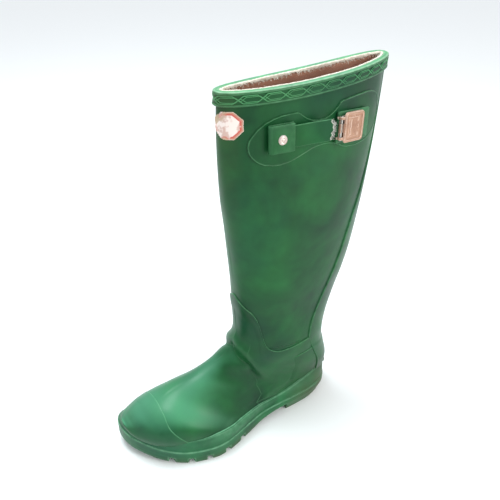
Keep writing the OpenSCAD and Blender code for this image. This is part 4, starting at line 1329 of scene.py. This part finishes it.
def makeStrapRivet():
    out = strap["tabFace"] + 2 * strap["fold"] + strap["thick"] + 0.4
    dome = [(1.6, out - 3), (1.6, out - 0.1), (3.6, out - 0.05), (4.15, out + 0.12), (4.25, out + 0.4),
            (4.05, out + 0.75), (3.5, out + 1.15), (2.8, out + 1.45), (2.3, out + 1.52), (2.0, out + 1.3),
            (1.6, out + 1.22), (1.2, out + 1.32), (0.7, out + 1.42), (0.01, out + 1.45)]
    addPiece("strapRivet", turned(dome), paleSteel, "buckle_steel", ["strap_rivet"],
             place=tabPlace @ Matrix.Translation((0, 0, -0.6)))


makeStrapRivet()

buckle = {"x": -21, "z": 353.3, "turn": 11, "tilt": -7, "baseY": 2.1, "baseThick": 2, "steel": 1.2,
          "pinX": 12.5, "pinY": 7.6, "plateY": 8.0, "plateWide": 27, "plateHigh": 27, "barrel": 2.18,
          "corner": 3.6, "rim": 2.5, "earGap": 3.3}
bucklePlace = onSide(buckle["x"], buckle["z"], buckle["turn"], buckle["tilt"])


def roundedLoop(w, h, r, n=160):  # outline of a rounded rectangle with even steps
    r = max(min(r, w / 2 - 0.01, h / 2 - 0.01), 0.01)
    pts = []
    for cx, cy, start in ((w / 2 - r, h / 2 - r, 0), (-w / 2 + r, h / 2 - r, 90),
                          (-w / 2 + r, -h / 2 + r, 180), (w / 2 - r, -h / 2 + r, 270)):
        for q in np.linspace(start, start + 90, 16):
            pts.append((cx + r * math.cos(math.radians(q)), cy + r * math.sin(math.radians(q))))
    pts = np.array(pts + pts[:1])
    way = np.concatenate([[0], np.cumsum(np.linalg.norm(np.diff(pts, axis=0), axis=1))])
    s = np.arange(n) * way[-1] / n
    return np.column_stack([np.interp(s, way, pts[:, 0]), np.interp(s, way, pts[:, 1])])


def pressedPlate(w, h, r, thick, face, step=0.35):  # rounded plate whose outer face follows a height rule
    rings = []
    insets = np.arange(0, min(w, h) / 2 - 0.1, step)
    bottom = [roundedLoop(w - 2 * d, h - 2 * d, r - d * 0.6) for d in insets[::6]][::-1]
    rings += [np.column_stack([q[:, 0], np.zeros(len(q)), q[:, 1]]) for q in bottom]
    for d, y in ((-0.0, 0.3), (0.0, thick - 0.35)):
        q = roundedLoop(w - 2 * d + 0.2, h - 2 * d + 0.2, r)
        rings.append(np.column_stack([q[:, 0], np.full(len(q), y), q[:, 1]]))
    for d in insets:
        q = roundedLoop(w - 2 * d, h - 2 * d, r - d * 0.6)
        rings.append(np.column_stack([q[:, 0], thick + face(q[:, 0], q[:, 1], d), q[:, 1]]))
    return loft(np.array(rings), caps="fan")


def boxed(x, z, x0, x1, z0, z1, soft=0.3):
    return (smoothStep(x0 - soft, x0 + soft, x) * (1 - smoothStep(x1 - soft, x1 + soft, x))
            * smoothStep(z0 - soft, z0 + soft, z) * (1 - smoothStep(z1 - soft, z1 + soft, z)))


def makeBuckleTab():
    loops = []
    for y, d, r in ((0, 0.5, 1.5), (0.15, 0.1, 1.8), (0.5, 0, 2), (1.4, 0, 2), (1.8, 0.2, 1.8),
                    (2.0, 0.65, 1.4)):
        q = roundedLoop(46 - 2 * d, 28 - 2 * d, r)
        loops.append(np.column_stack([q[:, 0] - 10, np.full(len(q), y + buckle["baseY"]), q[:, 1]]))
    addPiece("buckleTab", loft(np.array(loops), caps="fan"), greenRubber, "dark_rubber", ["buckle_tab"],
             place=bucklePlace)


makeBuckleTab()


def makeBuckleFrame():
    k = buckle
    y0 = k["baseY"] + k["baseThick"] + 0.1
    plate = pressedPlate(k["pinX"] + 8, 20, 1.6, k["steel"],
                         lambda x, z, d: -0.25 * math.exp(-(d / 0.3) ** 2) + 0 * x, 0.6)
    verts = plate[0] + [(k["pinX"] + 8) / 2 - 9, y0, 0]
    parts = [(verts, plate[1])]
    for z0 in (-10, 8):  # each ear is steel rolled round the pin
        ang = np.radians(np.linspace(-95, 215, 44))
        outer = np.column_stack([k["pinX"] + 2.75 * np.cos(ang), k["pinY"] + 2.75 * np.sin(ang)])
        inner = np.column_stack([k["pinX"] + 1.18 * np.cos(ang), k["pinY"] + 1.18 * np.sin(ang)])
        loop = np.vstack([outer, inner[::-1]])
        rings = [np.column_stack([loop[:, 0], loop[:, 1], np.full(len(loop), z0 + z)])
                 for z in (0, 0.2, 1.0, 1.8, 2.0)]
        parts.append(loft(np.array(rings), caps="strip"))
        web = np.array([[k["pinX"] - 3.2, y0], [k["pinX"] + 2.5, y0], [k["pinX"] + 2.3, k["pinY"] - 1.2],
                        [k["pinX"] - 2.4, k["pinY"] - 1.0]])
        rings = [np.column_stack([web[:, 0], web[:, 1], np.full(4, z0 + z)]) for z in (0.15, 1.85)]
        parts.append(loft(np.array(rings), caps="fan"))
    addPiece("buckleFrame", joined(parts), copperSteel, "buckle_steel", ["buckle_frame"], place=bucklePlace)


makeBuckleFrame()


def makeBuckleRivets():
    y = buckle["baseY"] + buckle["baseThick"] + 0.1 + buckle["steel"]
    parts = []
    for z in (-6, 6):
        dome = [(1.2, y - 3), (1.2, y), (2.1, y + 0.02), (2.25, y + 0.2), (1.9, y + 0.55),
                (1.2, y + 0.78), (0.01, y + 0.85)]
        v, f = turned(dome, 40)
        parts.append((v + [-3, 0, z], f))
    addPiece("buckleRivets", joined(parts), paleSteel, "buckle_steel", ["buckle_rivets"], place=bucklePlace)


makeBuckleRivets()


def makeBuckleLever():
    k = buckle
    w, h = k["plateWide"], k["plateHigh"]

    def face(x, z, d):
        rim = 0.95 * smoothStep(0, 0.55, d) * (1 - smoothStep(k["rim"] - 0.5, k["rim"] + 0.2, d))
        inner = 0.42 * boxed(x, z, -7.2, 8.2, -8.8, 8.8, 0.35)
        groove = -0.75 * boxed(x, z, 4.9, 5.9, -7, 7, 0.22)
        slots = -0.4 * (boxed(x, z, -5.6, -4.4, 5, 7.4, 0.2) + boxed(x, z, -5.8, -4.4, -1, 1.3, 0.2)
                        + boxed(x, z, -5.4, -4.2, -7.4, -5.4, 0.2) + boxed(x, z, 0.2, 2.6, 9.3, 10.2, 0.2))
        dents = -0.35 * (np.exp(-((x - 1.5) ** 2 + (z + 6) ** 2) / 1.2)
                         + np.exp(-((x + 1.8) ** 2 + (z - 4.5) ** 2) / 1.6))
        worn = 0.06 * np.sin(1.7 * x + 0.4) * np.sin(1.3 * z + 1)
        return rim + inner + groove + slots + dents + worn - 0.35 * (1 - smoothStep(0, 0.35, d))

    left = k["pinX"] - k["earGap"] - w
    plate = pressedPlate(w, h, k["corner"], k["steel"], face, 0.3)
    parts = [(plate[0] + [left + w / 2, k["plateY"], 0], plate[1])]
    ang = np.radians(np.linspace(100, 400, 44))
    outer = np.column_stack([k["pinX"] + k["barrel"] * np.cos(ang), k["pinY"] + k["barrel"] * np.sin(ang)])
    inner = np.column_stack([k["pinX"] + 1.2 * np.cos(ang), k["pinY"] + 1.2 * np.sin(ang)])
    lead = np.array([[left + w - 0.6, k["pinY"] + k["barrel"]]])
    leadIn = np.array([[left + w - 0.6, k["pinY"] + 1.2]])
    loop = np.vstack([lead, outer, inner[::-1], leadIn])
    rings = [np.column_stack([loop[:, 0], loop[:, 1], np.full(len(loop), z)]) for z in (-4, -3.8, 0, 3.8, 4)]
    parts.append(loft(np.array(rings), caps="strip"))
    addPiece("buckleLever", joined(parts), copperSteel, "buckle_steel", ["buckle_lever"], body="buckle_plate",
             place=bucklePlace)


makeBuckleLever()

for name, material in (("midsole", fillerBoard), ("shank", pinSteel), ("rivet_washer", paleSteel),
                       ("buckle_pin", pinSteel)):
    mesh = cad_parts[name].data
    mesh.materials.clear()
    mesh.materials.append(material)
print("hardware made")

# Floor, light and camera

studio = {"floor": (0.93, 0.93, 0.92, 1), "world": (0.92, 0.96, 1.0, 1), "worldStrength": 0.95,
          "position": (0.3197, 0.3735, 0.5403), "yaw": -119.95, "pitch": -35.14, "roll": -0.43,
          "lens": 39.35, "shiftX": 0.074, "shiftY": 0.019}


def makeFloor():
    mesh = bpy.data.meshes.new("floor")
    mesh.from_pydata([(-4, -4, 0), (4, -4, 0), (4, 4, 0), (-4, 4, 0)], [], [(0, 1, 2, 3)])
    floor = bpy.data.objects.new("floor", mesh)
    bpy.context.scene.collection.objects.link(floor)
    mat, tree, shader = startMaterial("floorPaper", Base_Color=studio["floor"], Roughness=0.9)
    where = addNode(tree, "ShaderNodeTexCoord").outputs["Object"]
    grain = addNode(tree, "ShaderNodeTexNoise", {"Vector": where, "Scale": 300.0, "Detail": 3.0})
    addBump(tree, shader, grain.outputs[0], 0.05, 0.0005)
    mesh.materials.append(mat)


makeFloor()


def addLamp(name, place, aim, size, power, colour):
    data = bpy.data.lights.new(name, "AREA")
    data.shape, data.size, data.energy, data.color = "DISK", size, power, colour
    lamp = bpy.data.objects.new(name, data)
    lampTurn = (Vector(aim) - Vector(place)).to_track_quat("-Z", "Y").to_matrix().to_4x4()
    lamp.matrix_world = Matrix.Translation(place) @ lampTurn
    bpy.context.scene.collection.objects.link(lamp)


addLamp("skyLight", (0.22, -0.3, 1.25), (0.12, 0, 0.04), 0.7, 15, (0.84, 0.95, 1.0))
addLamp("sideLight", (-0.7, 1.4, 0.9), (0.0, 0, 0.25), 0.9, 12, (1.0, 0.99, 0.92))

world = bpy.data.worlds.new("studio")
world.use_nodes = True
world.node_tree.nodes["Background"].inputs[0].default_value = studio["world"]
world.node_tree.nodes["Background"].inputs[1].default_value = studio["worldStrength"]
bpy.context.scene.world = world
bpy.context.scene.view_settings.view_transform = "Standard"

yaw, pitch, roll = (math.radians(studio[k]) for k in ("yaw", "pitch", "roll"))
ahead = Vector((math.cos(pitch) * math.cos(yaw), math.cos(pitch) * math.sin(yaw), math.sin(pitch)))
right = ahead.cross(Vector((0, 0, 1))).normalized()
upward = right.cross(ahead)
right, upward = (right * math.cos(roll) + upward * math.sin(roll),
                 upward * math.cos(roll) - right * math.sin(roll))
lens = bpy.data.cameras.new("camera")
lens.sensor_width, lens.lens = 36, studio["lens"]
lens.shift_x, lens.shift_y = studio["shiftX"], studio["shiftY"]
lens.clip_start = 0.01
camera = bpy.data.objects.new("camera", lens)
cameraTurn = Matrix((right, upward, -ahead)).transposed().to_4x4()
camera.matrix_world = Matrix.Translation(studio["position"]) @ cameraTurn
bpy.context.scene.collection.objects.link(camera)
bpy.context.scene.camera = camera
print("studio made")
